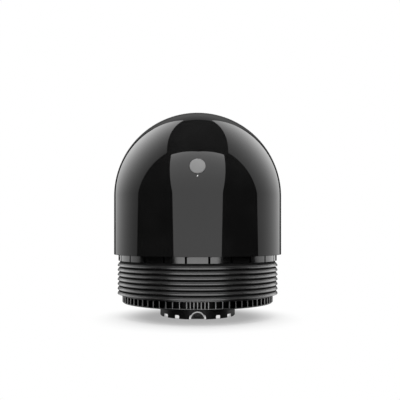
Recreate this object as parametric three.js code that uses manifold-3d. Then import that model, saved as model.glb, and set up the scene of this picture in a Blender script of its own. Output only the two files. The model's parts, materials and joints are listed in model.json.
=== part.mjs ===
// Dome lidar scanner: a finned base carries a turning dome, and a tilted mirror spins inside the dome.
// Millimetres, +Z up. The origin is the middle of the foot's resting face and -Y is the front.
import * as THREE from "three";
import { mergeVertices } from "three/addons/utils/BufferGeometryUtils.js";
import Module from "manifold-3d";

const wasm = await Module();
wasm.setup();

// Clearances and the reach of cutting tools
const seatGap = 0.3; // a seated piece to its seat
const runningGap = 0.4; // a turning piece to a still one
const partGap = 0.8; // neighbours that never touch
const overrun = 1; // how far a tool passes the face that it cuts
const sink = 0.3; // how deep a joined form runs into its carrier

// Dome and neck
const domeRadius = 31;
const domeWall = 1.2;
const domeSideHeight = 21.3; // straight side, from the rim to the equator
const neckShows = 2.2; // height of neck that shows under the rim
const neckWall = 1.8;
const neckTopGap = 1.2; // neck to the turntable above it
const neckSlotCount = 24;
const neckSlotWidth = 0.65;
const neckSlotDepth = 1.1;

// Front window and status light, both let into the dome
const windowRadius = 2.62;
const windowThickness = 0.5;
const windowElevation = 16; // degrees above the equator
const lightRadius = 0.2;
const lightElevation = 9.7;

// Finned housing
const finInset = 1.3; // dome's outside to a fin's tip
const finDepth = 0.85;
const finLand = 0.3; // upright tip of a fin
const finUndercut = 0.1; // how far a fin's underside rises towards its tip
const finRootLand = 0.06;
const finPitch = 1.708;
const finCount = 7;
const firstFinRise = 0.45; // housing's lower edge to the middle of the lowest tip
const topLand = 1.702; // middle of the highest tip to the housing's top
const housingWall = 2.55;
const topPlate = 1.6;

// Ribbed vent ring under the housing
const ventInset = 0.85; // fin root to the ring's outside
const ventRim = 0.4;
const ventPocketDepth = 2.1;
const ventCoreWall = 0.8;
const ventFlange = 1.1;
const ventRibCount = 72;
const ventRibWidth = 0.45;
const ribInset = 0.06; // a rib's face behind the rims
const extraRibCount = 3; // ribs at half pitch, in the middle of the front

// Bottom cover with its foot
const coverThickness = 1.4;
const gasketThickness = 0.5;
const sealWidth = 1.6;
const footRadius = 13.9;
const footHeight = 5.1;
const footWall = 1.2;
const footRecess = 3.1;
const footChamfer = 0.4;
const footSlotWidth = 1.5;
const footSlotHeight = 1.35;
const footSlotCorner = 0.35;
const outerSlotShare = 0.825; // distance of a slot from the foot's middle as a share of the foot's radius
const innerSlotShare = 0.525;
const axisSlotShare = 0.195;
const outletRadius = 3; // half-round cable outlet at the front
const outletGap = 0.35;
const socketLift = 0.15;
const socketInset = 0.4;
const socketLength = 4.3;
const socketWall = 0.35;
const socketMouthDepth = 3.2;
const stemWidth = 5;
const stemDepth = 2;
const contactCount = 4;
const contactWidth = 0.3;
const contactLength = 1.2;

// Threaded mounting holes in the cover, and the screws
const mountInset = 4.8; // cover's edge to the mounting holes
const mountHoleCount = 4;
const mountBossRadius = 2.8;
const mountHoleRadius = 1.25;
const mountHoleDepth = 3.8;
const coverScrewShank = 1;
const coverScrewHead = 1.9;
const coverScrewHeadHeight = 1;
const coverScrewGrip = 5; // thread inside the post
const smallScrewShank = 0.8;
const smallScrewHead = 1.4;
const smallScrewHeadHeight = 0.9;
const smallScrewGrip = 3;
const driveRecessShare = 0.45; // driver recess as a share of the head

// Main board on its standoffs
const boardThickness = 1.6;
const boardEdgeGap = 0.8;
const boardHubGap = 1;
const standoffLength = 7;
const standoffRadius = 1.8;
const standoffInset = 2; // board's hub opening to a standoff
const standoffCount = 3;
const firstStandoff = 90; // degrees from +X
const postRadius = 2.2;
const postCount = 4;
const firstPost = 45; // degrees from +X
const processorSide = 7;
const processorHeight = 1.2;
const inductorSide = 6;
const inductorHeight = 3;
const inductorCorner = 1.2;
const connectorWidth = 8;
const connectorDepth = 5;
const connectorHeight = 2.6;
const connectorCentre = 11.5;

// Bearings, spindle and bearing tube
const bearingBore = 5;
const bearingOuter = 11;
const bearingWidth = 4;
const innerRaceWall = 1.2;
const tubeWall = 1.4;
const tubeDrop = 11; // tube's length below the housing's top
const tubeLip = 0.3; // tube's end above the stator
const tubeFlangeWidth = 1.5;
const raceInset = 0.4;
const shoulderHeight = 0.9;
const spindleFlangeRadius = 6;
const spindleFlange = 1;
const hubWall = 0.9;
const nutRadius = 3.6;
const nutHeight = 1.3;

// Direct drive motor between the housing and the turntable. Its teeth, the ring transformer and the
// encoder share the room that the other rings leave between the bearing tube and the dome screws.
const toothRoomShare = 0.22;
const encoderRoomShare = 0.27;
const statorHeight = 1.8;
const statorRing = 1.1;
const toothCount = 6;
const toothWidth = 1.8;
const shoeThickness = 1;
const shoeHalfAngle = 23; // degrees
const coilBuild = 0.9;
const coilTopGap = 1;
const airGap = 0.5;
const magnetWall = 1.1;
const magnetHeight = 3.2;
const yokeWall = 1.2;
const yokeFloorGap = 1;

// Ring transformer that powers the head, and the angle encoder
const coreThickness = 1;
const windingThickness = 0.9;
const windingInsetShare = 0.107; // bare edge of a core as a share of its width
const encoderThickness = 0.4;
const encoderSlotCount = 24;
const encoderSlotWidth = 1.6;
const encoderSlotDepthShare = 0.45; // of the disc's width
const sensorWidth = 4;
const sensorInset = 0.2;

// Turntable, and the pieces that stand on it
const deckThickness = 2;
const domeScrewInset = 2.3; // deck's edge to the dome screws
const domeScrewCount = 3;
const firstDomeScrew = 90; // degrees from +X
const domeBossRadius = 2.2;
const domeBossHeight = 5;
const padHeight = 1;
const padRadius = 2;
const padCircle = 16;
const padCount = 3;
const firstPad = 30; // degrees from +X
const headBoardThickness = 1.2;
const framePlate = 1.5;
const frameHalfWidth = 9;
const uprightThickness = 2.5;
const uprightInside = 9.5; // scan centre to the inner face of an upright

// Scan mirror, its motor and the laser optics, all on one level axis
const mirrorRadius = 7.5;
const mirrorThickness = 1;
const holderBack = 8.4;
const shaftRadius = 1;
const shaftSeat = 3.9; // shaft's length inside the mirror holder
const codeWheelRadius = 6;
const codeWheelThickness = 0.5;
const motorRadius = 8;
const motorLength = 8.7;
const motorBack = 0.5;
const pilotRadius = 4;
const barrelRadius = 6.6;
const barrelWall = 0.9;
const barrelLength = 8;
const barrelFlangeWidth = 1.6;
const barrelFlange = 1;
const lensThickness = 2.4;
const lensEdge = 1;
const lensSetback = 1;
const laserLength = 5.7;
const laserCollar = 1.2;

// Facet counts
const domeSides = 32;
const ventSides = 36;
const footSides = 32;
const ringSides = 20; // wide rings
const barrelSides = 16; // bearings and optics
const pinSides = 8;
const screwSides = 6;
const domeArcSteps = 9;
const innerArcSteps = 6;
const archSteps = 8; // half circles of the outlet and the uprights
const shoeArcSteps = 2;
const nutSides = 6;

// Heights, from the foot up
const coverTopZ = footHeight + coverThickness;
const gasketTopZ = coverTopZ + gasketThickness;
const housingBottomZ = gasketTopZ + ventFlange;
const firstFinZ = housingBottomZ + firstFinRise;
const housingTopZ = firstFinZ + finPitch * (finCount - 1) + topLand;
const plateBottomZ = housingTopZ - topPlate;
const domeRimZ = housingTopZ + neckShows;
const equatorZ = domeRimZ + domeSideHeight;
const boardTopZ = plateBottomZ - standoffLength;
const boardBottomZ = boardTopZ - boardThickness;
const connectorBottomZ = boardBottomZ - connectorHeight;
const statorBottomZ = housingTopZ + coilBuild + seatGap * 2;
const statorTopZ = statorBottomZ + statorHeight;
const statorMiddleZ = (statorBottomZ + statorTopZ) / 2;
const deckBottomZ = statorTopZ + seatGap + coilBuild + coilTopGap;
const deckTopZ = deckBottomZ + deckThickness;
const tubeTopZ = statorTopZ + tubeLip;
const tubeBottomZ = housingTopZ - tubeDrop;
const upperRaceTopZ = tubeTopZ - raceInset;
const upperRaceBottomZ = upperRaceTopZ - bearingWidth;
const lowerRaceBottomZ = tubeBottomZ + raceInset;
const lowerRaceTopZ = lowerRaceBottomZ + bearingWidth;
const nutBottomZ = lowerRaceBottomZ - nutHeight;
const headBoardBottomZ = deckTopZ + padHeight;
const frameBottomZ = headBoardBottomZ + headBoardThickness;
const frameTopZ = frameBottomZ + framePlate;
const encoderBottomZ = deckBottomZ - encoderThickness;

// Radii, from the outside in for the covers and from the spindle out for the drive
const domeInnerRadius = domeRadius - domeWall;
const neckRadius = domeInnerRadius - runningGap;
const finTipRadius = domeRadius - finInset;
const finRootRadius = finTipRadius - finDepth;
const finFlank = finPitch - finLand - finUndercut - finRootLand;
const housingInnerRadius = finRootRadius - housingWall;
const ventRadius = finRootRadius - ventInset;
const ventCoreRadius = ventRadius - ventPocketDepth;
const coverRadius = ventCoreRadius - ventCoreWall - seatGap;
const sealInnerRadius = coverRadius - sealWidth;
const postCircle = sealInnerRadius - runningGap - postRadius;
const boardRadius = housingInnerRadius - boardEdgeGap;
const mountCircle = coverRadius - mountInset;
const spindleRadius = bearingBore / 2 - seatGap;
const innerRaceRadius = bearingBore / 2 + innerRaceWall;
const outerRaceBore = innerRaceRadius + runningGap;
const tubeBore = bearingOuter / 2 + seatGap;
const tubeRadius = tubeBore + tubeWall;
const statorBore = tubeRadius + seatGap;
const boardBore = tubeRadius + boardHubGap;
const standoffCircle = boardBore + standoffInset + standoffRadius;
const chipCircle = (boardBore + boardRadius) / 2;
const deckRadius = domeInnerRadius - seatGap;
const domeScrewCircle = deckRadius - domeScrewInset;
const counterboreRadius = smallScrewHead + seatGap;
const encoderOuterRadius = domeScrewCircle - counterboreRadius - seatGap;
const ringStack = statorRing + shoeThickness + airGap + magnetWall + seatGap + yokeWall + partGap * 2;
const driveRoom = encoderOuterRadius - statorBore - ringStack;
const toothLength = driveRoom * toothRoomShare;
const encoderWidth = driveRoom * encoderRoomShare;
const encoderSlotDepth = encoderWidth * encoderSlotDepthShare;
const toothRootRadius = statorBore + statorRing;
const shoeInnerRadius = toothRootRadius + toothLength;
const statorRadius = shoeInnerRadius + shoeThickness;
const magnetInnerRadius = statorRadius + airGap;
const yokeInnerRadius = magnetInnerRadius + magnetWall + seatGap;
const yokeRadius = yokeInnerRadius + yokeWall;
const coreInnerRadius = yokeRadius + partGap;
const encoderInnerRadius = encoderOuterRadius - encoderWidth;
const coreOuterRadius = encoderInnerRadius - partGap;
const headBoardRadius = domeScrewCircle - domeBossRadius - partGap;
const shaftBore = shaftRadius + seatGap;

// Solids

// Joins equal corners, drops the flat triangles at a pole and gives the geometry to the boolean library.
function solidOf(geometry) {
  const plain = geometry.clone();
  plain.deleteAttribute("normal");
  plain.deleteAttribute("uv");
  const merged = mergeVertices(plain);
  const corners = [];
  for (let i = 0; i < merged.index.count; i += 3) {
    const [a, b, c] = [0, 1, 2].map((step) => merged.index.getX(i + step));
    if (a !== b && b !== c && c !== a) corners.push(a, b, c);
  }
  const solid = new wasm.Manifold(
    new wasm.Mesh({
      numProp: 3,
      vertProperties: merged.attributes.position.array,
      triVerts: Uint32Array.from(corners),
    }),
  );
  if (solid.volume() < 0) throw new Error("a solid is inside out");
  return solid;
}

function geometryOf(solid) {
  const { vertProperties, triVerts } = solid.getMesh();
  const geometry = new THREE.BufferGeometry();
  geometry.setAttribute("position", new THREE.BufferAttribute(vertProperties, 3));
  geometry.setIndex(new THREE.BufferAttribute(triVerts, 1));
  geometry.computeVertexNormals();
  return geometry;
}

function joined(first, ...others) {
  return others.reduce((solid, other) => solid.add(other), first);
}

function cutBy(solid, ...tools) {
  return tools.reduce((rest, tool) => rest.subtract(tool), solid);
}

// Turns an outline of [radius, height] points about Z. An outline off the axis closes on itself.
function revolve(outline, sides) {
  const points = outline.map(([radius, height]) => new THREE.Vector2(radius, height));
  if (THREE.ShapeUtils.area(points) < 0) points.reverse();
  if (points[0].x > 0 || points.at(-1).x > 0) points.push(points[0].clone());
  return new THREE.LatheGeometry(points, sides).rotateX(Math.PI / 2);
}

function ring(innerRadius, outerRadius, bottomZ, topZ, sides) {
  const outline = [
    [innerRadius, bottomZ],
    [outerRadius, bottomZ],
    [outerRadius, topZ],
    [innerRadius, topZ],
  ];
  return revolve(outline, sides);
}

function disc(radius, bottomZ, topZ, sides) {
  const outline = [
    [0, bottomZ],
    [radius, bottomZ],
    [radius, topZ],
    [0, topZ],
  ];
  return revolve(outline, sides);
}

function box(width, depth, bottomZ, topZ) {
  const height = topZ - bottomZ;
  return new THREE.BoxGeometry(width, depth, height).translate(0, 0, bottomZ + height / 2);
}

function extrude(shape, length, curveSegments) {
  return new THREE.ExtrudeGeometry(shape, { depth: length, bevelEnabled: false, curveSegments });
}

// Angles are counted from +X, and -90 degrees is the front.
function around(count, firstDegrees) {
  return Array.from({ length: count }, (_, i) => THREE.MathUtils.degToRad(firstDegrees + (360 / count) * i));
}

function placed(geometry, circle, angle) {
  return geometry.clone().translate(circle, 0, 0).rotateZ(angle);
}

// A half-round arch with straight legs, standing on the X axis of its shape.
function archShape(halfWidth, height) {
  const shape = new THREE.Shape();
  shape.moveTo(-halfWidth, 0);
  shape.lineTo(halfWidth, 0);
  shape.lineTo(halfWidth, height - halfWidth);
  shape.absarc(0, height - halfWidth, halfWidth, 0, Math.PI);
  return shape;
}

// Lays a shape's extrusion along +Y, with the shape's own Y as the height.
function extrudeAlongY(shape, fromY, toY, curveSegments) {
  const geometry = extrude(shape, toY - fromY, curveSegments);
  return geometry.rotateX(Math.PI / 2).translate(0, toY, 0);
}

// Sets a solid of revolution on the level scan axis, so that its heights become places along +Y.
function onScanAxis(geometry) {
  return geometry.rotateX(-Math.PI / 2).translate(0, 0, equatorZ);
}

// Points on a quarter circle from the equator to the pole, as [radius, height].
function quarterArc(radius, centreZ, steps) {
  return Array.from({ length: steps + 1 }, (_, i) => {
    const angle = (Math.PI / 2) * (i / steps);
    const across = i === steps ? 0 : radius * Math.cos(angle);
    return [across, centreZ + radius * Math.sin(angle)];
  });
}

// Scene graph

const scanner = new THREE.Group();
const base = new THREE.Group();
const head = new THREE.Group();
const mirror = new THREE.Group();
scanner.add(base, head);
head.add(mirror);

function addMesh(group, name, geometry, finish) {
  const mesh = new THREE.Mesh(geometry, new THREE.MeshStandardMaterial(finish));
  mesh.name = name;
  group.add(mesh);
  return mesh;
}

function addSolid(group, name, solid, finish) {
  return addMesh(group, name, geometryOf(solid), finish);
}

const castBlack = { color: 0x3a3a3c, roughness: 0.2, metalness: 0.9 };
const neckGrey = { color: 0x68686b, roughness: 0.2, metalness: 0.9 };
const ribGrey = { color: 0x55565a, roughness: 0.35, metalness: 0.7 };
const domeBlack = { color: 0x18181b, roughness: 0.05, metalness: 0 };
const matBlack = { color: 0x141416, roughness: 0.7, metalness: 0 };
const rubberBlack = { color: 0x101010, roughness: 0.9, metalness: 0 };
const steel = { color: 0xb9bbbe, roughness: 0.3, metalness: 1 };
const brightAlloy = { color: 0xc6c8ca, roughness: 0.4, metalness: 1 };
const laminate = { color: 0x2b2e33, roughness: 0.55, metalness: 0.9 };
const copper = { color: 0xb5673a, roughness: 0.35, metalness: 1 };
const boardGreen = { color: 0x0f4a2c, roughness: 0.5, metalness: 0 };
const chipBlack = { color: 0x1c1c1e, roughness: 0.6, metalness: 0 };
const ferriteGrey = { color: 0x3a3a3c, roughness: 0.8, metalness: 0.1 };
const darkContact = { color: 0x3f3f40, roughness: 0.3, metalness: 1 };
const glassClear = { color: 0xdfe8ec, roughness: 0.05, metalness: 0 };
const windowGrey = { color: 0x8d8e90, roughness: 0.35, metalness: 0 };
const lightWhite = { color: 0xf4f6f8, roughness: 0.3, metalness: 0 };
const mirrorSilver = { color: 0xe8ebee, roughness: 0.03, metalness: 1 };

// Base covers

function addHousing() {
  const outline = [
    [housingInnerRadius, housingBottomZ],
    [ventRadius, housingBottomZ],
  ];
  for (let i = 0; i < finCount; i++) {
    const lowZ = firstFinZ + finPitch * i - finLand / 2;
    outline.push([finRootRadius, lowZ - finUndercut], [finTipRadius, lowZ]);
    outline.push([finTipRadius, lowZ + finLand], [finRootRadius, lowZ + finLand + finFlank]);
  }
  outline.push([finRootRadius, housingTopZ], [tubeRadius + seatGap, housingTopZ]);
  outline.push([tubeRadius + seatGap, plateBottomZ], [housingInnerRadius, plateBottomZ]);
  let housing = solidOf(revolve(outline, domeSides));

  const post = disc(postRadius, coverTopZ, plateBottomZ + sink, pinSides);
  const screwHole = disc(
    coverScrewShank + seatGap,
    coverTopZ - overrun,
    coverTopZ + coverScrewGrip + overrun,
    pinSides,
  );
  for (const angle of around(postCount, firstPost)) {
    housing = housing.add(solidOf(placed(post, postCircle, angle)));
    housing = housing.subtract(solidOf(placed(screwHole, postCircle, angle)));
  }
  const standoff = disc(standoffRadius, boardTopZ, plateBottomZ + sink, pinSides);
  const smallHole = disc(
    smallScrewShank + seatGap,
    boardTopZ - overrun,
    boardTopZ + smallScrewGrip + seatGap,
    screwSides,
  );
  for (const angle of around(standoffCount, firstStandoff)) {
    housing = housing.add(solidOf(placed(standoff, standoffCircle, angle)));
    housing = housing.subtract(solidOf(placed(smallHole, standoffCircle, angle)));
  }
  addSolid(base, "base_housing", housing, castBlack);
}

function addNeckRing() {
  const topZ = deckBottomZ - neckTopGap;
  const slot = box(neckSlotDepth + overrun, neckSlotWidth, housingTopZ - overrun, topZ + overrun);
  const slotCircle = neckRadius + (overrun - neckSlotDepth) / 2;
  let neck = solidOf(ring(neckRadius - neckWall, neckRadius, housingTopZ, topZ, domeSides));
  for (const angle of around(neckSlotCount, 180 / neckSlotCount)) {
    neck = neck.subtract(solidOf(placed(slot, slotCircle, angle)));
  }
  addSolid(base, "neck_ring", neck, neckGrey);
}

function addVentRing() {
  const coreInnerWall = ventCoreRadius - ventCoreWall;
  const outline = [
    [coreInnerWall, footHeight],
    [ventRadius, footHeight],
    [ventRadius, footHeight + ventRim],
    [ventCoreRadius, footHeight + ventRim],
    [ventCoreRadius, housingBottomZ - ventRim],
    [ventRadius, housingBottomZ - ventRim],
    [ventRadius, housingBottomZ],
    [sealInnerRadius, housingBottomZ],
    [sealInnerRadius, gasketTopZ],
    [coreInnerWall, gasketTopZ],
  ];
  const ribFace = ventRadius * Math.cos(Math.PI / ventSides) - ribInset;
  const ribLength = ribFace - ventCoreRadius + sink;
  const rib = box(ribLength, ventRibWidth, footHeight + ventRim / 2, housingBottomZ - ventRim / 2);
  const ribPitch = 360 / ventRibCount;
  const extraAngles = Array.from({ length: extraRibCount }, (_, i) =>
    THREE.MathUtils.degToRad(-90 + ribPitch * (i - (extraRibCount - 1) / 2)),
  );
  let vent = solidOf(revolve(outline, ventSides));
  for (const angle of [...around(ventRibCount, ribPitch / 2), ...extraAngles]) {
    vent = vent.add(solidOf(placed(rib, ribFace - ribLength / 2, angle)));
  }
  addSolid(base, "vent_ring", vent, ribGrey);
}

// A slot's opening with its upper corners cut off, standing on the X axis of its shape.
function footSlotShape() {
  const half = footSlotWidth / 2;
  const height = footSlotHeight + overrun;
  const corners = [
    [-half, 0],
    [half, 0],
    [half, height - footSlotCorner],
    [half - footSlotCorner, height],
    [footSlotCorner - half, height],
    [-half, height - footSlotCorner],
  ];
  return new THREE.Shape(corners.map(([x, y]) => new THREE.Vector2(x, y)));
}

function addBottomCover() {
  const outline = [
    [0, footRecess],
    [footRadius - footWall, footRecess],
    [footRadius - footWall, 0],
    [footRadius - footChamfer, 0],
    [footRadius, footChamfer],
    [footRadius, footHeight],
    [coverRadius, footHeight],
    [coverRadius, coverTopZ],
    [0, coverTopZ],
  ];
  let cover = solidOf(revolve(outline, footSides));

  const slotEndY = footRadius + overrun;
  const slotTool = extrudeAlongY(footSlotShape(), -slotEndY, slotEndY).translate(0, 0, -overrun);
  const backSlotTool = extrudeAlongY(footSlotShape(), footRadius / 2, slotEndY).translate(0, 0, -overrun);
  for (const side of [-1, 1]) {
    for (const share of [innerSlotShare, outerSlotShare]) {
      cover = cover.subtract(solidOf(slotTool.clone().translate(side * share * footRadius, 0, 0)));
    }
    const axisSlotPlace = side * axisSlotShare * footRadius;
    cover = cover.subtract(solidOf(backSlotTool.clone().translate(axisSlotPlace, 0, 0)));
    cover = cover.subtract(solidOf(slotTool.clone().rotateZ(Math.PI / 2).translate(0, axisSlotPlace, 0)));
  }
  const outletTool = extrudeAlongY(
    archShape(outletRadius, outletRadius + overrun),
    -footRadius - overrun,
    -footRadius + footWall + overrun,
    archSteps,
  ).translate(0, 0, -overrun);
  cover = cover.subtract(solidOf(outletTool));

  const boss = disc(mountBossRadius, coverTopZ - sink, boardBottomZ - seatGap * 2, pinSides);
  const threadHole = disc(mountHoleRadius, footHeight - overrun, footHeight + mountHoleDepth, pinSides);
  for (const angle of around(mountHoleCount, 0)) {
    cover = cover.add(solidOf(placed(boss, mountCircle, angle)));
    cover = cover.subtract(solidOf(placed(threadHole, mountCircle, angle)));
  }
  const countersink = revolve(
    [
      [0, footHeight - overrun],
      [coverScrewHead + seatGap, footHeight - overrun],
      [coverScrewHead + seatGap, footHeight],
      [coverScrewShank + seatGap, footHeight + coverScrewHeadHeight],
      [coverScrewShank + seatGap, coverTopZ + overrun],
      [0, coverTopZ + overrun],
    ],
    pinSides,
  );
  for (const angle of around(postCount, firstPost)) {
    cover = cover.subtract(solidOf(placed(countersink, postCircle, angle)));
  }

  // Way for the socket, under the recess to its stem and up through the cover
  const stemTool = box(stemWidth + seatGap * 2, stemDepth + seatGap * 2, 0, coverTopZ + overrun);
  const blockFrontY = stemY() - stemDepth / 2 - seatGap;
  const wayDepth = -blockFrontY - footRadius / 2;
  const wayTool = box(stemWidth + seatGap * 2, wayDepth, -overrun, footRecess);
  wayTool.translate(0, blockFrontY + wayDepth / 2, 0);
  cover = cutBy(cover, solidOf(stemTool.translate(0, stemY(), 0)), solidOf(wayTool));
  addSolid(base, "bottom_cover", cover, matBlack);
}

function addGasket() {
  const gasket = ring(sealInnerRadius, coverRadius, coverTopZ, gasketTopZ, ringSides);
  addSolid(base, "cover_gasket", solidOf(gasket), rubberBlack);
}

// Fasteners. A screw stands with its head's outer face at height zero and its shank pointing up.

function screwSolid(headRadius, headHeight, shankRadius, length, countersunk) {
  const recessRadius = headRadius * driveRecessShare;
  const outline = [
    [0, headHeight * driveRecessShare],
    [recessRadius, headHeight * driveRecessShare],
    [recessRadius, 0],
    [headRadius, 0],
  ];
  if (!countersunk) outline.push([headRadius, headHeight]);
  outline.push([shankRadius, headHeight], [shankRadius, length], [0, length]);
  return geometryOf(solidOf(revolve(outline, screwSides)));
}

function addScrews(group, name, geometry, angles, circle, headZ) {
  angles.forEach((angle, i) => {
    const screw = addMesh(group, `${name}_${i + 1}`, geometry, steel);
    screw.position.set(circle * Math.cos(angle), circle * Math.sin(angle), headZ);
    screw.rotation.z = angle;
  });
}

function addFasteners() {
  const coverScrew = screwSolid(
    coverScrewHead,
    coverScrewHeadHeight,
    coverScrewShank,
    coverThickness + coverScrewGrip,
    true,
  );
  addScrews(base, "cover_screw", coverScrew, around(postCount, firstPost), postCircle, footHeight);
  const boardScrewLength = smallScrewHeadHeight + boardThickness + smallScrewGrip;
  const boardScrew = screwSolid(smallScrewHead, smallScrewHeadHeight, smallScrewShank, boardScrewLength);
  const boardHeadZ = boardBottomZ - smallScrewHeadHeight;
  const boardScrewAngles = around(standoffCount, firstStandoff);
  addScrews(base, "board_screw", boardScrew, boardScrewAngles, standoffCircle, boardHeadZ);
  const domeScrewLength = deckThickness - seatGap + smallScrewGrip;
  const domeScrew = screwSolid(smallScrewHead, smallScrewHeadHeight, smallScrewShank, domeScrewLength);
  const domeScrewAngles = around(domeScrewCount, firstDomeScrew);
  addScrews(head, "dome_screw", domeScrew, domeScrewAngles, domeScrewCircle, deckBottomZ + seatGap);
}

// Cable socket and main board

function stemY() {
  return -(connectorCentre - connectorDepth / 2 + stemDepth);
}

function addSocket() {
  const noseRadius = outletRadius - outletGap;
  const frontY = -footRadius + socketInset;
  const backY = frontY + socketLength;
  const noseShape = archShape(noseRadius, noseRadius);
  const nose = extrudeAlongY(noseShape, frontY, backY + sink, archSteps).translate(0, 0, socketLift);
  const mouthRadius = noseRadius - socketWall;
  const mouthShape = archShape(mouthRadius, mouthRadius);
  const mouthZ = socketLift + socketWall;
  const mouthEndY = frontY + socketMouthDepth;
  const mouthRound = extrudeAlongY(mouthShape, frontY - overrun, mouthEndY, archSteps);
  const belowMouth = box(noseRadius * 2, footRadius * 3, -overrun, mouthZ);
  const mouth = cutBy(solidOf(mouthRound.translate(0, 0, socketLift)), solidOf(belowMouth));
  const stemTopZ = connectorBottomZ - seatGap;
  const blockDepth = -stemY() + stemDepth / 2 + backY;
  const block = box(stemWidth, blockDepth + stemDepth, socketLift, footRecess);
  const blockY = backY + (blockDepth + stemDepth) / 2 - blockDepth;
  const stem = box(stemWidth, stemDepth, footRecess - sink, stemTopZ).translate(0, stemY(), 0);
  const body = joined(solidOf(nose), solidOf(block.translate(0, blockY, 0)), solidOf(stem));
  addSolid(base, "cable_socket", body.subtract(mouth), matBlack);

  const barWidth = mouthRadius;
  const pitch = barWidth / contactCount;
  const barZ = mouthZ + seatGap;
  const barY = mouthEndY - seatGap - contactWidth / 2;
  const bar = box(barWidth, contactWidth, barZ, barZ + contactWidth * 2).translate(0, barY, 0);
  let contacts = solidOf(bar);
  for (let i = 0; i < contactCount; i++) {
    const x = (i - (contactCount - 1) / 2) * pitch;
    const pin = box(pitch / 2, contactLength, barZ, barZ + contactWidth);
    contacts = contacts.add(solidOf(pin.translate(x, barY - contactLength / 2, 0)));
  }
  addSolid(base, "socket_contacts", contacts, darkContact);
}

function addMainBoard() {
  let board = solidOf(ring(boardBore, boardRadius, boardBottomZ, boardTopZ, ringSides));
  const postHole = disc(postRadius + runningGap, boardBottomZ - overrun, boardTopZ + overrun, pinSides);
  for (const angle of around(postCount, firstPost)) {
    board = board.subtract(solidOf(placed(postHole, postCircle, angle)));
  }
  const screwHole = disc(
    smallScrewShank + seatGap,
    boardBottomZ - overrun,
    boardTopZ + overrun,
    screwSides,
  );
  for (const angle of around(standoffCount, firstStandoff)) {
    board = board.subtract(solidOf(placed(screwHole, standoffCircle, angle)));
  }
  addSolid(base, "main_board", board, boardGreen);

  const processor = box(processorSide, processorSide, boardTopZ, boardTopZ + processorHeight);
  addMesh(base, "processor", processor.translate(chipCircle, 0, 0), chipBlack);

  const half = inductorSide / 2;
  const cut = half - inductorCorner;
  const corners = [
    [half, -cut],
    [half, cut],
    [cut, half],
    [-cut, half],
    [-half, cut],
    [-half, -cut],
    [-cut, -half],
    [cut, -half],
  ];
  const inductorShape = new THREE.Shape(corners.map(([x, y]) => new THREE.Vector2(x, y)));
  const inductor = extrude(inductorShape, inductorHeight).translate(-chipCircle, 0, boardTopZ);
  addSolid(base, "power_inductor", solidOf(inductor), ferriteGrey);

  const connector = box(connectorWidth, connectorDepth, connectorBottomZ, boardBottomZ);
  addMesh(base, "board_connector", connector.translate(0, -connectorCentre, 0), chipBlack);
}

// Bearings and spindle

function addBearings() {
  const tubeFlangeRadius = tubeRadius + tubeFlangeWidth;
  const shoulderRadius = bearingOuter / 2 - shoulderHeight;
  const tubeOutline = [
    [tubeBore, tubeBottomZ],
    [tubeRadius, tubeBottomZ],
    [tubeRadius, housingTopZ],
    [tubeFlangeRadius, housingTopZ],
    [tubeFlangeRadius, statorBottomZ],
    [tubeRadius, statorBottomZ],
    [tubeRadius, tubeTopZ],
    [tubeBore, tubeTopZ],
    [tubeBore, upperRaceBottomZ],
    [shoulderRadius, upperRaceBottomZ],
    [shoulderRadius, lowerRaceTopZ],
    [tubeBore, lowerRaceTopZ],
  ];
  addSolid(base, "bearing_tube", solidOf(revolve(tubeOutline, barrelSides)), brightAlloy);

  for (const [place, bottomZ] of [
    ["upper", upperRaceBottomZ],
    ["lower", lowerRaceBottomZ],
  ]) {
    const topZ = bottomZ + bearingWidth;
    const outerRace = ring(outerRaceBore, bearingOuter / 2, bottomZ, topZ, barrelSides);
    const innerRace = ring(bearingBore / 2, innerRaceRadius, bottomZ, topZ, barrelSides);
    addSolid(base, `${place}_bearing_outer_race`, solidOf(outerRace), steel);
    addSolid(head, `${place}_bearing_inner_race`, solidOf(innerRace), steel);
  }

  const spindleOutline = [
    [0, nutBottomZ - seatGap],
    [spindleRadius, nutBottomZ - seatGap],
    [spindleRadius, deckTopZ],
    [spindleFlangeRadius, deckTopZ],
    [spindleFlangeRadius, deckTopZ + spindleFlange],
    [0, deckTopZ + spindleFlange],
  ];
  addSolid(head, "spindle", solidOf(revolve(spindleOutline, barrelSides)), steel);

  const nut = solidOf(disc(nutRadius, nutBottomZ, lowerRaceBottomZ, nutSides));
  const nutHole = solidOf(
    disc(spindleRadius + seatGap, nutBottomZ - overrun, lowerRaceBottomZ + overrun, pinSides),
  );
  addSolid(head, "spindle_nut", cutBy(nut, nutHole), steel);
}

// Motor

function sectorShape(innerRadius, outerRadius, halfAngle) {
  const shape = new THREE.Shape();
  shape.absarc(0, 0, outerRadius, -halfAngle, halfAngle, false);
  shape.absarc(0, 0, innerRadius, halfAngle, -halfAngle, true);
  return shape;
}

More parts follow.
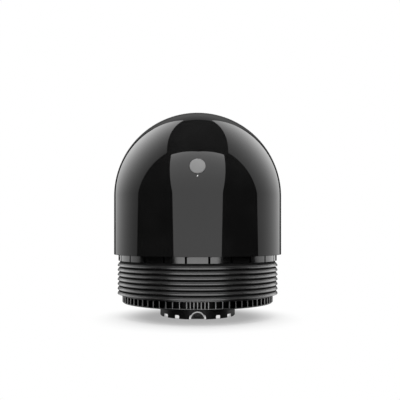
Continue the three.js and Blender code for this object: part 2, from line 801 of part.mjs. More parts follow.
function addMotor() {
  const toothAngles = around(toothCount, 0);
  const toothReach = toothLength + sink * 2;
  const tooth = box(toothReach, toothWidth, statorBottomZ, statorTopZ);
  const shoe = extrude(
    sectorShape(shoeInnerRadius, statorRadius, THREE.MathUtils.degToRad(shoeHalfAngle)),
    statorHeight,
    shoeArcSteps,
  ).translate(0, 0, statorBottomZ);
  let stator = solidOf(ring(statorBore, toothRootRadius, statorBottomZ, statorTopZ, ringSides));
  for (const angle of toothAngles) {
    const toothMiddle = (toothRootRadius + shoeInnerRadius) / 2;
    const toothSolid = solidOf(placed(tooth, toothMiddle, angle));
    stator = joined(stator, toothSolid, solidOf(shoe.clone().rotateZ(angle)));
  }
  addSolid(base, "stator_core", stator, laminate);

  const coilHole = { width: toothWidth + seatGap * 2, height: statorHeight + seatGap * 2 };
  const coilLength = toothLength - seatGap * 2;
  const coilBottomZ = statorMiddleZ - coilHole.height / 2 - coilBuild;
  const coilTopZ = statorMiddleZ + coilHole.height / 2 + coilBuild;
  const coilBody = solidOf(box(coilLength, coilHole.width + coilBuild * 2, coilBottomZ, coilTopZ));
  const holeTool = solidOf(
    box(coilLength + overrun * 2, coilHole.width, coilBottomZ + coilBuild, coilTopZ - coilBuild),
  );
  const coilGeometry = geometryOf(cutBy(coilBody, holeTool));
  const coilCircle = toothRootRadius + seatGap + coilLength / 2;
  toothAngles.forEach((angle, i) => {
    const coil = addMesh(base, `stator_coil_${i + 1}`, coilGeometry, copper);
    coil.position.set(coilCircle * Math.cos(angle), coilCircle * Math.sin(angle), 0);
    coil.rotation.z = angle;
  });

  const magnetBottomZ = statorMiddleZ - magnetHeight / 2;
  const magnetTopZ = magnetBottomZ + magnetHeight;
  const magnetRadius = magnetInnerRadius + magnetWall;
  const magnet = ring(magnetInnerRadius, magnetRadius, magnetBottomZ, magnetTopZ, ringSides);
  addSolid(head, "rotor_magnet", solidOf(magnet), ferriteGrey);
  const yoke = ring(yokeInnerRadius, yokeRadius, housingTopZ + yokeFloorGap, deckBottomZ, ringSides);
  addSolid(head, "rotor_yoke", solidOf(yoke), steel);
}

// Ring transformer and encoder

function addTransformerAndEncoder() {
  const windingInset = (coreOuterRadius - coreInnerRadius) * windingInsetShare;
  const windingInner = coreInnerRadius + windingInset;
  const windingOuter = coreOuterRadius - windingInset;
  const lowCoreTopZ = housingTopZ + coreThickness;
  const highCoreBottomZ = deckBottomZ - coreThickness;
  const lowCore = ring(coreInnerRadius, coreOuterRadius, housingTopZ, lowCoreTopZ, ringSides);
  const lowWinding = ring(windingInner, windingOuter, lowCoreTopZ, lowCoreTopZ + windingThickness, ringSides);
  const highCore = ring(coreInnerRadius, coreOuterRadius, highCoreBottomZ, deckBottomZ, ringSides);
  const highWinding = ring(
    windingInner,
    windingOuter,
    highCoreBottomZ - windingThickness,
    highCoreBottomZ,
    ringSides,
  );
  addSolid(base, "transmitter_core", solidOf(lowCore), ferriteGrey);
  addSolid(base, "transmitter_coil", solidOf(lowWinding), copper);
  addSolid(head, "receiver_core", solidOf(highCore), ferriteGrey);
  addSolid(head, "receiver_coil", solidOf(highWinding), copper);

  const wheel = ring(encoderInnerRadius, encoderOuterRadius, encoderBottomZ, deckBottomZ, encoderSlotCount);
  const slot = box(
    encoderSlotDepth + overrun,
    encoderSlotWidth,
    encoderBottomZ - overrun,
    deckBottomZ + overrun,
  );
  const slotCircle = encoderOuterRadius + (overrun - encoderSlotDepth) / 2;
  let encoder = solidOf(wheel);
  for (const angle of around(encoderSlotCount, 0)) {
    encoder = encoder.subtract(solidOf(placed(slot, slotCircle, angle)));
  }
  addSolid(head, "encoder_disc", encoder, steel);

  const sensorDepth = encoderOuterRadius - encoderInnerRadius - sensorInset * 2;
  const sensorCentre = (encoderInnerRadius + encoderOuterRadius) / 2;
  const sensor = box(sensorDepth, sensorWidth, housingTopZ, encoderBottomZ - runningGap);
  addMesh(base, "encoder_sensor", placed(sensor, sensorCentre, 0), chipBlack);
}

// Dome

// Carries a geometry that points up Z out to the dome's skin, at an angle above the equator of the front.
function onDomeFront(geometry, elevation) {
  const tilt = Math.PI / 2 - THREE.MathUtils.degToRad(elevation);
  return geometry.rotateX(tilt).translate(0, 0, equatorZ);
}

function addDome() {
  const outline = [
    ...quarterArc(domeInnerRadius, equatorZ, innerArcSteps).reverse(),
    [domeInnerRadius, domeRimZ],
    [domeRadius, domeRimZ],
    ...quarterArc(domeRadius, equatorZ, domeArcSteps),
  ];
  let dome = solidOf(revolve(outline, domeSides));

  const bossTopZ = deckTopZ + domeBossHeight;
  const boss = disc(domeBossRadius, deckTopZ, bossTopZ, pinSides);
  const webLength = domeInnerRadius + domeWall / 2 - domeScrewCircle;
  const web = box(webLength, domeBossRadius * 2, deckTopZ, bossTopZ);
  const screwHole = disc(
    smallScrewShank + seatGap,
    deckTopZ - overrun,
    deckTopZ + smallScrewGrip + seatGap,
    screwSides,
  );
  for (const angle of around(domeScrewCount, firstDomeScrew)) {
    const bossSolid = solidOf(placed(boss, domeScrewCircle, angle));
    const webSolid = solidOf(placed(web, domeScrewCircle + webLength / 2, angle));
    dome = joined(dome, bossSolid, webSolid);
    dome = dome.subtract(solidOf(placed(screwHole, domeScrewCircle, angle)));
  }

  // The window and the light sit flush with the facets, which lie a little inside the true sphere.
  const flushRadius = domeRadius * Math.cos(Math.PI / domeSides) ** 2;
  const insertBottom = flushRadius - windowThickness;
  const pocketBottom = insertBottom - seatGap;
  for (const [name, radius, elevation, sides, finish] of [
    ["front_window", windowRadius, windowElevation, ringSides, windowGrey],
    ["status_light", lightRadius, lightElevation, screwSides, lightWhite],
  ]) {
    const pocket = disc(radius + seatGap, pocketBottom, domeRadius + overrun, sides);
    dome = dome.subtract(solidOf(onDomeFront(pocket, elevation)));
    const insert = disc(radius, insertBottom, flushRadius, sides);
    addSolid(head, name, solidOf(onDomeFront(insert, elevation)), finish);
  }
  addSolid(head, "dome_cover", dome, domeBlack);
}

// Turntable and optics

function addTurntable() {
  const hubBore = spindleRadius + seatGap;
  const hubRadius = hubBore + hubWall;
  const outline = [
    [hubBore, upperRaceTopZ],
    [hubRadius, upperRaceTopZ],
    [hubRadius, deckBottomZ],
    [deckRadius, deckBottomZ],
    [deckRadius, deckTopZ],
    [hubBore, deckTopZ],
  ];
  let deck = solidOf(revolve(outline, domeSides));
  const counterboreTopZ = deckBottomZ + seatGap + smallScrewHeadHeight;
  const counterbore = disc(counterboreRadius, deckBottomZ - overrun, counterboreTopZ, pinSides);
  const screwHole = disc(smallScrewShank + seatGap, deckBottomZ, deckTopZ + overrun, screwSides);
  for (const angle of around(domeScrewCount, firstDomeScrew)) {
    const boreSolid = solidOf(placed(counterbore, domeScrewCircle, angle));
    deck = cutBy(deck, boreSolid, solidOf(placed(screwHole, domeScrewCircle, angle)));
  }
  const pad = disc(padRadius, deckTopZ - sink, headBoardBottomZ, pinSides);
  for (const angle of around(padCount, firstPad)) {
    deck = deck.add(solidOf(placed(pad, padCircle, angle)));
  }
  addSolid(head, "turntable", deck, brightAlloy);

  const headBoardBore = spindleFlangeRadius + boardHubGap;
  const headBoard = ring(headBoardBore, headBoardRadius, headBoardBottomZ, frameBottomZ, ringSides);
  addSolid(head, "head_board", solidOf(headBoard), boardGreen);
}

function uprightShape(holeRadius) {
  const shape = new THREE.Shape();
  shape.moveTo(-frameHalfWidth, frameTopZ - sink);
  shape.lineTo(frameHalfWidth, frameTopZ - sink);
  shape.absarc(0, equatorZ, frameHalfWidth, 0, Math.PI);
  const hole = new THREE.Path();
  hole.absarc(0, equatorZ, holeRadius, 0, Math.PI * 2);
  shape.holes.push(hole);
  return shape;
}

function addOpticalFrame() {
  const uprightOutside = uprightInside + uprightThickness;
  const plate = box(frameHalfWidth * 2, uprightOutside * 2, frameBottomZ, frameTopZ);
  const lensUpright = uprightShape(barrelRadius + seatGap);
  const motorUpright = uprightShape(pilotRadius + seatGap);
  const frame = joined(
    solidOf(plate),
    solidOf(extrudeAlongY(lensUpright, uprightInside, uprightOutside, archSteps)),
    solidOf(extrudeAlongY(motorUpright, -uprightOutside, -uprightInside, archSteps)),
  );
  addSolid(head, "optical_frame", frame, brightAlloy);

  // Lens barrel, lens and laser, behind the mirror on +Y
  const barrelFrontY = uprightInside - seatGap;
  const barrelBackY = barrelFrontY + barrelLength;
  const flangeY = uprightOutside + seatGap;
  const barrelBore = barrelRadius - barrelWall;
  const barrelOutline = [
    [barrelBore, barrelFrontY],
    [barrelRadius, barrelFrontY],
    [barrelRadius, flangeY],
    [barrelRadius + barrelFlangeWidth, flangeY],
    [barrelRadius + barrelFlangeWidth, flangeY + barrelFlange],
    [barrelRadius, flangeY + barrelFlange],
    [barrelRadius, barrelBackY],
    [barrelBore, barrelBackY],
  ];
  addSolid(head, "lens_barrel", solidOf(onScanAxis(revolve(barrelOutline, barrelSides))), matBlack);

  const lensRadius = barrelBore - seatGap;
  const lensY = barrelFrontY + lensSetback + lensThickness / 2;
  const crown = (lensThickness - lensEdge) / 2;
  const midRadius = lensRadius / 2;
  const midCrown = crown * (1 - (midRadius / lensRadius) ** 2);
  const lensOutline = [
    [0, lensY - lensEdge / 2 - crown],
    [midRadius, lensY - lensEdge / 2 - midCrown],
    [lensRadius, lensY - lensEdge / 2],
    [lensRadius, lensY + lensEdge / 2],
    [midRadius, lensY + lensEdge / 2 + midCrown],
    [0, lensY + lensEdge / 2 + crown],
  ];
  addSolid(head, "receiver_lens", solidOf(onScanAxis(revolve(lensOutline, barrelSides))), glassClear);

  const laserFrontY = barrelBackY + seatGap;
  const laserOutline = [
    [0, laserFrontY],
    [barrelRadius, laserFrontY],
    [barrelRadius, laserFrontY + laserCollar],
    [barrelBore, laserFrontY + laserCollar],
    [barrelBore, laserFrontY + laserLength],
    [0, laserFrontY + laserLength],
  ];
  addSolid(head, "laser_module", solidOf(onScanAxis(revolve(laserOutline, barrelSides))), steel);

  // Mirror motor on -Y, with its shaft bore open to the mirror
  const motorFrontY = -uprightOutside - seatGap;
  const motorBackY = motorFrontY - motorLength;
  const motorOutline = [
    [0, motorBackY],
    [motorRadius, motorBackY],
    [motorRadius, motorFrontY],
    [pilotRadius, motorFrontY],
    [pilotRadius, -uprightInside - seatGap],
    [shaftBore, -uprightInside - seatGap],
    [shaftBore, motorBackY + motorBack],
    [0, motorBackY + motorBack],
  ];
  addSolid(head, "mirror_motor", solidOf(onScanAxis(revolve(motorOutline, barrelSides))), steel);

  // Shaft, code wheel, holder and mirror, which turn together
  const shaftBackY = motorBackY + motorBack + seatGap;
  const shaftFrontY = -holderBack + shaftSeat;
  const shaft = disc(shaftRadius, shaftBackY, shaftFrontY, pinSides);
  addSolid(mirror, "mirror_shaft", solidOf(onScanAxis(shaft)), steel);
  const wheelBackY = -holderBack - seatGap - codeWheelThickness;
  const wheel = ring(shaftBore, codeWheelRadius, wheelBackY, wheelBackY + codeWheelThickness, barrelSides);
  addSolid(mirror, "mirror_code_wheel", solidOf(onScanAxis(wheel)), steel);

  const drum = solidOf(onScanAxis(disc(mirrorRadius, -holderBack, mirrorRadius * 2, ringSides)));
  const longDrum = solidOf(onScanAxis(disc(mirrorRadius, -mirrorRadius * 3, mirrorRadius * 3, ringSides)));
  const holderBore = disc(shaftBore, -holderBack - overrun, shaftFrontY + seatGap, pinSides);
  const slab = (depth) => {
    const side = mirrorRadius * 8;
    const plate = box(side, side, -depth - side, -depth);
    return solidOf(plate.rotateX(-Math.PI / 4).translate(0, 0, equatorZ));
  };
  const holder = cutBy(drum.intersect(slab(mirrorThickness + seatGap)), solidOf(onScanAxis(holderBore)));
  addSolid(mirror, "mirror_holder", holder, brightAlloy);
  const glass = longDrum.intersect(slab(0)).subtract(slab(mirrorThickness));
  addSolid(mirror, "scan_mirror", glass, mirrorSilver);
}

addHousing();
addNeckRing();
addVentRing();
addBottomCover();
addGasket();
addFasteners();
addSocket();
addMainBoard();
addBearings();
addMotor();
addTransformerAndEncoder();
addDome();
addTurntable();
addOpticalFrame();

export default scanner;
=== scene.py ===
import json
import math

import bmesh
import bpy
from mathutils import Matrix, Vector


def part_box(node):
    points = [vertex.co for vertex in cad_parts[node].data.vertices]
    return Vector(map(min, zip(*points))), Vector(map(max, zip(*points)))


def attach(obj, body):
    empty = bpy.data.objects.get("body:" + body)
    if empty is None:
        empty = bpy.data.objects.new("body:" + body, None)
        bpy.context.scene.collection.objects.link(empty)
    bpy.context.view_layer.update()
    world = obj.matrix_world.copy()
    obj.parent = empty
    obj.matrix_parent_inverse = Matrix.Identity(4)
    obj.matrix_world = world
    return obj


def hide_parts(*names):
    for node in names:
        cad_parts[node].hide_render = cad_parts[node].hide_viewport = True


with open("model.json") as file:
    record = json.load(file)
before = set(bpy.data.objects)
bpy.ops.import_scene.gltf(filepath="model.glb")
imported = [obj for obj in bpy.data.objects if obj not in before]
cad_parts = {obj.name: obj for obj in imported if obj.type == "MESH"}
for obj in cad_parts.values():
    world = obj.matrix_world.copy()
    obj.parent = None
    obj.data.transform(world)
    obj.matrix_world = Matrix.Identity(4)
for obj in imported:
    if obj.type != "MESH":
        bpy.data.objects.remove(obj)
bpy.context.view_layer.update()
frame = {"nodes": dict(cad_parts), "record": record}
mm = 0.001
fullTurn = 2 * math.pi
print("frame loaded,", len(frame["nodes"]), "nodes")

# Places that more than one piece uses, all from the frame
domeLow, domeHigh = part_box("dome_cover")
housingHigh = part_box("base_housing")[1]
neckLow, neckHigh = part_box("neck_ring")
ventLow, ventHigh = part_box("vent_ring")
gasketLow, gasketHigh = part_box("cover_gasket")
boardLow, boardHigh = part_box("main_board")
equatorZ = domeHigh.z - domeHigh.x  # the height of the dome's centre


# Camera, level and a little above the middle of the housing

camera = {
    "distance": 234 * mm, "height": 30.9 * mm, "lens": 56.25, "shiftX": 0.006, "shiftY": 0.08,
    "clipStart": 0.01, "clipEnd": 50,
}


def addCamera():
    data = bpy.data.cameras.new("camera")
    data.lens = camera["lens"]
    data.shift_x = camera["shiftX"]
    data.shift_y = camera["shiftY"]
    data.clip_start = camera["clipStart"]
    data.clip_end = camera["clipEnd"]
    eye = bpy.data.objects.new("camera", data)
    eye.location = (0, -camera["distance"], camera["height"])
    eye.rotation_euler = (math.radians(90), 0, 0)
    bpy.context.scene.collection.objects.link(eye)
    bpy.context.scene.camera = eye
    bpy.context.scene.view_settings.view_transform = "Standard"


# Mesh helpers

weld = 0.001 * mm
cutWeld = 0.0005 * mm  # finer, because a cut leaves short edges
overlap = 0.3 * mm  # how far a form runs into the one it is joined to
holeSteps = 24


def shadeSmooth(bm, creaseDegrees):
    # Smooth, apart from the edges that are sharper than creaseDegrees
    for face in bm.faces:
        face.smooth = True
    for edge in bm.edges:
        edge.smooth = len(edge.link_faces) == 2 and edge.calc_face_angle() < math.radians(creaseDegrees)


def newPiece(name, bm, creaseDegrees=35):
    shadeSmooth(bm, creaseDegrees)
    mesh = bpy.data.meshes.new(name)
    bm.to_mesh(mesh)
    bm.free()
    piece = bpy.data.objects.new(name, mesh)
    bpy.context.scene.collection.objects.link(piece)
    return piece


def arcPoints(centreR, centreZ, radius, fromDegrees, toDegrees, steps):
    points = []
    for i in range(steps + 1):
        a = math.radians(fromDegrees + (toDegrees - fromDegrees) * i / steps)
        points.append((centreR + radius * math.cos(a), centreZ + radius * math.sin(a)))
    return points


def turnedMesh(outline, steps, rounds=(), onAxis=False):
    # An outline of (radius, height) turned about Z; rounds holds (corner numbers, radius, segments)
    bm = bmesh.new()
    corners = [bm.verts.new((r, 0, z)) for r, z in outline]
    pairs = list(zip(corners, corners[1:]))
    if not onAxis:
        pairs.append((corners[-1], corners[0]))
    for pair in pairs:
        bm.edges.new(pair)
    for picked, radius, segments in rounds:
        bmesh.ops.bevel(
            bm, geom=[corners[i] for i in picked], offset=radius, offset_type="OFFSET",
            segments=segments, profile=0.5, affect="VERTICES", material=-1,
        )
    bmesh.ops.spin(
        bm, geom=bm.verts[:] + bm.edges[:], cent=(0, 0, 0), axis=(0, 0, 1), dvec=(0, 0, 0),
        angle=fullTurn, steps=steps, use_merge=True, use_duplicate=False,
    )
    bmesh.ops.remove_doubles(bm, verts=bm.verts, dist=weld)
    bmesh.ops.recalc_face_normals(bm, faces=bm.faces)
    return bm


def addMesh(bm, other):
    # Copies another bmesh into bm and frees it
    mesh = bpy.data.meshes.new("part")
    other.to_mesh(mesh)
    other.free()
    bm.from_mesh(mesh)
    bpy.data.meshes.remove(mesh)


def rodMesh(radius, bottomZ, topZ, segments=32):
    bm = bmesh.new()
    bmesh.ops.create_cone(
        bm, cap_ends=True, segments=segments, radius1=radius, radius2=radius, depth=topZ - bottomZ,
    )
    bmesh.ops.translate(bm, verts=bm.verts, vec=(0, 0, (bottomZ + topZ) / 2))
    return bm


def blockMesh(size, centre):
    bm = bmesh.new()
    bmesh.ops.create_cube(bm, size=1)
    bmesh.ops.scale(bm, verts=bm.verts, vec=size)
    bmesh.ops.translate(bm, verts=bm.verts, vec=centre)
    return bm


def runMesh(outline, fromY, toY):
    # An outline of (x, z) run along Y
    bm = bmesh.new()
    face = bm.faces.new([bm.verts.new((x, fromY, z)) for x, z in outline])
    run = bmesh.ops.extrude_face_region(bm, geom=[face])
    moved = [e for e in run["geom"] if isinstance(e, bmesh.types.BMVert)]
    bmesh.ops.translate(bm, verts=moved, vec=(0, toY - fromY, 0))
    bmesh.ops.remove_doubles(bm, verts=bm.verts, dist=weld)
    bmesh.ops.recalc_face_normals(bm, faces=bm.faces)
    return bm


def archOutline(radius, bottomZ, centreZ, steps=32):
    # A half-round arch about centreZ with straight legs down to bottomZ
    outline = [(-radius, bottomZ), (radius, bottomZ)] if bottomZ < centreZ else []
    return outline + arcPoints(0, centreZ, radius, 0, 180, steps)


def slotOutline(halfWidth, bottomZ, topZ, corner, steps=4):
    outline = [(-halfWidth, bottomZ), (halfWidth, bottomZ)]
    outline += arcPoints(halfWidth - corner, topZ - corner, corner, 0, 90, steps)
    outline += arcPoints(corner - halfWidth, topZ - corner, corner, 90, 180, steps)
    return outline


def aroundAxis(makeOne, circle, angles):
    # One mesh with a copy of what makeOne gives at each angle, pushed out along X by circle first
    bm = bmesh.new()
    for angle in angles:
        one = makeOne()
        bmesh.ops.translate(one, verts=one.verts, vec=(circle, 0, 0))
        bmesh.ops.rotate(one, verts=one.verts, cent=(0, 0, 0), matrix=Matrix.Rotation(angle, 3, "Z"))
        addMesh(bm, one)
    return bm


def evenAngles(count, firstDegrees):
    return [math.radians(firstDegrees + 360 / count * i) for i in range(count)]


def rodRing(radius, bottomZ, topZ, circle, angles, segments=32):
    return aroundAxis(lambda: rodMesh(radius, bottomZ, topZ, segments), circle, angles)


def carve(piece, toolMesh, operation="DIFFERENCE", creaseDegrees=35):
    tool = newPiece("tool", toolMesh)
    step = piece.modifiers.new("carve", "BOOLEAN")
    step.operation = operation
    step.solver = "EXACT"
    step.object = tool
    graph = bpy.context.evaluated_depsgraph_get()
    done = bpy.data.meshes.new_from_object(piece.evaluated_get(graph))
    piece.modifiers.clear()
    rough = piece.data
    piece.data = done
    done.name = piece.name
    bpy.data.meshes.remove(rough)
    used = tool.data
    bpy.data.objects.remove(tool)
    bpy.data.meshes.remove(used)
    bm = bmesh.new()
    bm.from_mesh(done)
    bmesh.ops.remove_doubles(bm, verts=bm.verts, dist=cutWeld)
    bmesh.ops.holes_fill(bm, edges=bm.edges, sides=3)  # now and then a cut loses one triangle
    shadeSmooth(bm, creaseDegrees)
    bm.to_mesh(done)
    bm.free()


def trueNormals(piece, normalAt):
    # Sets the exact normal of a turned face where normalAt knows it, so that a cut leaves no ripple
    # in the gloss
    mesh = piece.data
    normals = [Vector(n.vector) for n in mesh.corner_normals]
    for face in mesh.polygons:
        for loop in face.loop_indices:
            exact = normalAt(mesh.vertices[mesh.loops[loop].vertex_index].co, face.normal)
            if exact:
                normals[loop] = exact
    mesh.normals_split_custom_set(normals)


def onCylinder(radius, lowZ=-1, highZ=1):
    # Exact normals for an upright round wall; without heights given, for all of it
    reachSlack, leastMatch = 0.003 * mm, 0.98

    def normalAt(place, faceNormal):
        across = Vector((place.x, place.y, 0))
        if lowZ <= place.z <= highZ and abs(across.length - radius) < reachSlack:
            if across.normalized().dot(faceNormal) > leastMatch:
                return across.normalized()
        return None
    return normalAt


def finishPiece(piece, body, nodes, material):
    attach(piece, body)
    if nodes:
        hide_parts(*nodes)
    piece.data.materials.clear()
    piece.data.materials.append(material)


# Shader groups shared by the materials

def newGroup(name, inputs, outputs):
    group = bpy.data.node_groups.new(name, "ShaderNodeTree")
    for label, kind, value in inputs:
        socket = group.interface.new_socket(label, in_out="INPUT", socket_type=kind)
        if value is not None:
            socket.default_value = value
    for label, kind in outputs:
        group.interface.new_socket(label, in_out="OUTPUT", socket_type=kind)
    nodes = group.nodes
    return group, nodes, nodes.new("NodeGroupInput"), nodes.new("NodeGroupOutput"), group.links


def feed(links, socket, value):
    # A plain value goes on the socket itself, and an output of a node is linked to it
    if isinstance(value, (int, float, tuple)):
        socket.default_value = value
    else:
        links.new(value, socket)


def mathNode(nodes, links, operation, first, second=None):
    node = nodes.new("ShaderNodeMath")
    node.operation = operation
    for socket, value in zip(node.inputs, (first, second)):
        if value is not None:
            feed(links, socket, value)
    return node.outputs[0]


def mapNode(nodes, links, value, fromLow, fromHigh, toLow, toHigh, smooth=False):
    node = nodes.new("ShaderNodeMapRange")
    node.interpolation_type = "SMOOTHSTEP" if smooth else "LINEAR"
    labels = ("Value", "From Min", "From Max", "To Min", "To Max")
    for label, given in zip(labels, (value, fromLow, fromHigh, toLow, toHigh)):
        feed(links, node.inputs[label], given)
    return node.outputs["Result"]


def blendNode(nodes, links, share, first, second):
    # The first colour where share is 0, and the second where it is 1
    node = nodes.new("ShaderNodeMix")
    node.data_type = "RGBA"
    for label, given in (("Factor", share), ("A", first), ("B", second)):
        feed(links, node.inputs[label], given)
    return node.outputs["Result"]


def noiseNode(nodes, links, place, scale, detail):
    node = nodes.new("ShaderNodeTexNoise")
    node.inputs["Detail"].default_value = detail
    links.new(place, node.inputs["Vector"])
    links.new(scale, node.inputs["Scale"])
    return node.outputs[0]


def addReach(nodes, links):
    # Distance from the Z axis
    split = nodes.new("ShaderNodeSeparateXYZ")
    links.new(nodes.new("ShaderNodeTexCoord").outputs["Object"], split.inputs[0])
    flat = nodes.new("ShaderNodeCombineXYZ")
    links.new(split.outputs["X"], flat.inputs["X"])
    links.new(split.outputs["Y"], flat.inputs["Y"])
    reach = nodes.new("ShaderNodeVectorMath")
    reach.operation = "LENGTH"
    links.new(flat.outputs[0], reach.inputs[0])
    return reach.outputs["Value"]


def makeGrainGroup():
    # Fine moulded or blasted grain: colour, roughness and a height for a bump
    group, nodes, given, out, links = newGroup(
        "surfaceGrain",
        [
            ("Colour", "NodeSocketColor", (0.5, 0.5, 0.5, 1)),
            ("Second Colour", "NodeSocketColor", (0.5, 0.5, 0.5, 1)),
            ("Scale", "NodeSocketFloat", 4000.0),
            ("Cloud Scale", "NodeSocketFloat", 120.0),
            ("Roughness", "NodeSocketFloat", 0.4),
            ("Roughness Spread", "NodeSocketFloat", 0.1),
        ],
        [("Colour", "NodeSocketColor"), ("Roughness", "NodeSocketFloat"), ("Height", "NodeSocketFloat")],
    )
    place = nodes.new("ShaderNodeTexCoord").outputs["Object"]
    fine = noiseNode(nodes, links, place, given.outputs["Scale"], 3)
    cloud = noiseNode(nodes, links, place, given.outputs["Cloud Scale"], 4)
    cloudLow, cloudHigh = 0.35, 0.65
    share = mapNode(nodes, links, cloud, cloudLow, cloudHigh, 0, 1, smooth=True)
    colour = blendNode(nodes, links, share, given.outputs["Colour"], given.outputs["Second Colour"])
    links.new(colour, out.inputs["Colour"])
    swing = mathNode(nodes, links, "SUBTRACT", fine, 0.5)
    swing = mathNode(nodes, links, "MULTIPLY", swing, given.outputs["Roughness Spread"])
    links.new(mathNode(nodes, links, "ADD", given.outputs["Roughness"], swing), out.inputs["Roughness"])
    links.new(fine, out.inputs["Height"])
    return group


def makeTurningGroup():
    # Fine rings left by a lathe about the Z axis
    group, nodes, given, out, links = newGroup(
        "turningMarks", [("Ring Scale", "NodeSocketFloat", 9000.0)], [("Height", "NodeSocketFloat")],
    )
    split = nodes.new("ShaderNodeSeparateXYZ")
    links.new(nodes.new("ShaderNodeTexCoord").outputs["Object"], split.inputs[0])
    along = mathNode(nodes, links, "ADD", addReach(nodes, links), split.outputs["Z"])
    swing = mathNode(nodes, links, "MULTIPLY", along, given.outputs["Ring Scale"])
    links.new(mathNode(nodes, links, "SINE", swing), out.inputs["Height"])
    return group


grain = makeGrainGroup()
turning = makeTurningGroup()


def newMaterial(name, metallic=0.0, ior=1.5, coat=0.0, coatRoughness=0.05):
    material = bpy.data.materials.new(name)
    material.use_nodes = True
    tree = material.node_tree
    shader = tree.nodes["Principled BSDF"]
    shader.inputs["Metallic"].default_value = metallic
    shader.inputs["IOR"].default_value = ior
    shader.inputs["Coat Weight"].default_value = coat
    shader.inputs["Coat Roughness"].default_value = coatRoughness
    return material, tree.nodes, tree.links, shader


def placeGroup(nodes, group, values):
    node = nodes.new("ShaderNodeGroup")
    node.node_tree = group
    for label, value in values.items():
        node.inputs[label].default_value = value
    return node


def grey(value):
    return (value, value, value, 1)


def addBump(nodes, links, shader, height, strength, distance):
    bump = nodes.new("ShaderNodeBump")
    bump.inputs["Strength"].default_value = strength
    bump.inputs["Distance"].default_value = distance
    links.new(height, bump.inputs["Height"])
    links.new(bump.outputs["Normal"], shader.inputs["Normal"])


def addGrain(nodes, links, shader, colour, second, scale, cloudScale, rough, spread, bump=0, bumpDepth=0):
    node = placeGroup(nodes, grain, {
        "Colour": colour, "Second Colour": second, "Scale": scale, "Cloud Scale": cloudScale,
        "Roughness": rough, "Roughness Spread": spread,
    })
    links.new(node.outputs["Colour"], shader.inputs["Base Color"])
    links.new(node.outputs["Roughness"], shader.inputs["Roughness"])
    if bump:
        addBump(nodes, links, shader, node.outputs["Height"], bump, bumpDepth)
    return node


def addRadialPaintedShade(nodes, links, shader, grainNode, finish):
    # Painted shade: dark inside the shade radius, and the grain's colour outside lightRadius
    reach = addReach(nodes, links)
    share = mapNode(nodes, links, reach, finish["paintedShadeRadius"], finish["lightRadius"], 0, 1, smooth=True)
    colour = blendNode(nodes, links, share, grey(finish["dark"]), grainNode.outputs["Colour"])
    links.new(colour, shader.inputs["Base Color"])
    return share


def addLacquer(nodes, links, shader, grainNode, share, finish):
    # A clear coat where share is 1, and a rough bare ground where it is 0
    rough = mapNode(nodes, links, share, 0, 1, finish["deepRough"], grainNode.outputs["Roughness"])
    links.new(rough, shader.inputs["Roughness"])
    links.new(mapNode(nodes, links, share, 0, 1, 0, finish["coat"]), shader.inputs["Coat Weight"])
    shader.inputs["Coat Roughness"].default_value = finish["coatRough"]


# Materials: one for each slot of the record, and one for the socket's metal mouth

def makeGrainMaterial(name, metallic=0.0, **finish):
    material, nodes, links, shader = newMaterial(name, metallic=metallic)
    addGrain(nodes, links, shader, **finish)
    return material


# Satin on the fins, and painted shade darker down between them
housingFinishAndShade = {
    "metallic": 0.9, "dark": 0.035, "paintedShadeRadius": 28.95 * mm, "lightRadius": 29.62 * mm,
    "deepRough": 0.8, "coat": 1.0, "coatRough": 0.25,
    "grain": {
        "colour": grey(0.072), "second": grey(0.064), "scale": 5000, "cloudScale": 150,
        "rough": 0.28, "spread": 0.08, "bump": 0.12, "bumpDepth": 0.004 * mm,
    },
}

# Polished outside, and painted shade near black in the slots
neckFinishAndShade = {
    "metallic": 0.9, "dark": 0.004, "paintedShadeRadius": 28.95 * mm, "lightRadius": 29.15 * mm,
    "deepRough": 0.95, "coat": 1.0, "coatRough": 0.12,
    "grain": {
        "colour": grey(0.1), "second": grey(0.085), "scale": 5000, "cloudScale": 150,
        "rough": 0.13, "spread": 0.06,
    },
}

# Painted shade near black inside the windows, and lighter metal on the ribs' faces and on the rims
ventFinishAndShade = {
    "metallic": 0.9, "dark": 0.003, "paintedShadeRadius": 27.7 * mm, "lightRadius": 27.85 * mm,
    "grain": {
        "colour": grey(0.34), "second": grey(0.255), "scale": 4000, "cloudScale": 400,
        "rough": 0.3, "spread": 0.15,
    },
}


def makeDeepMaterial(name, finish):
    # Metal with painted shade down in its grooves, and lacquered outside where its finish has a coat
    material, nodes, links, shader = newMaterial(name, metallic=finish["metallic"])
    node = addGrain(nodes, links, shader, **finish["grain"])
    share = addRadialPaintedShade(nodes, links, shader, node, finish)
    if "coat" in finish:
        addLacquer(nodes, links, shader, node, share, finish)
    return material


turnedFinish = {"scale": 3000, "cloudScale": 200, "spread": 0.1}
ringBump = 0.3


def makeTurnedMaterial(name, ringScale, ringDepth, **finish):
    material, nodes, links, shader = newMaterial(name, metallic=1.0)
    node = addGrain(nodes, links, shader, **turnedFinish, **finish)
    marks = placeGroup(nodes, turning, {"Ring Scale": ringScale})
    heights = mathNode(nodes, links, "ADD", marks.outputs["Height"], node.outputs["Height"])
    addBump(nodes, links, shader, heights, ringBump, ringDepth)
    return material


windingFinish = {
    "wireScale": 25000, "wireBump": 0.8, "wireDepth": 0.05 * mm,
    "grain": {
        "colour": (0.5, 0.17, 0.06, 1), "second": (0.42, 0.13, 0.045, 1), "scale": 1500, "cloudScale": 300,
        "rough": 0.3, "spread": 0.1,
    },
}


def makeWindingMaterial():
    # Copper wire laid side by side
    material, nodes, links, shader = newMaterial("copperWire", metallic=1.0)
    node = addGrain(nodes, links, shader, **windingFinish["grain"])
    turns = mathNode(nodes, links, "MULTIPLY", addReach(nodes, links), windingFinish["wireScale"])
    wave = mathNode(nodes, links, "SINE", turns)
    heights = mathNode(nodes, links, "ADD", wave, node.outputs["Height"])
    addBump(nodes, links, shader, heights, windingFinish["wireBump"], windingFinish["wireDepth"])
    return material


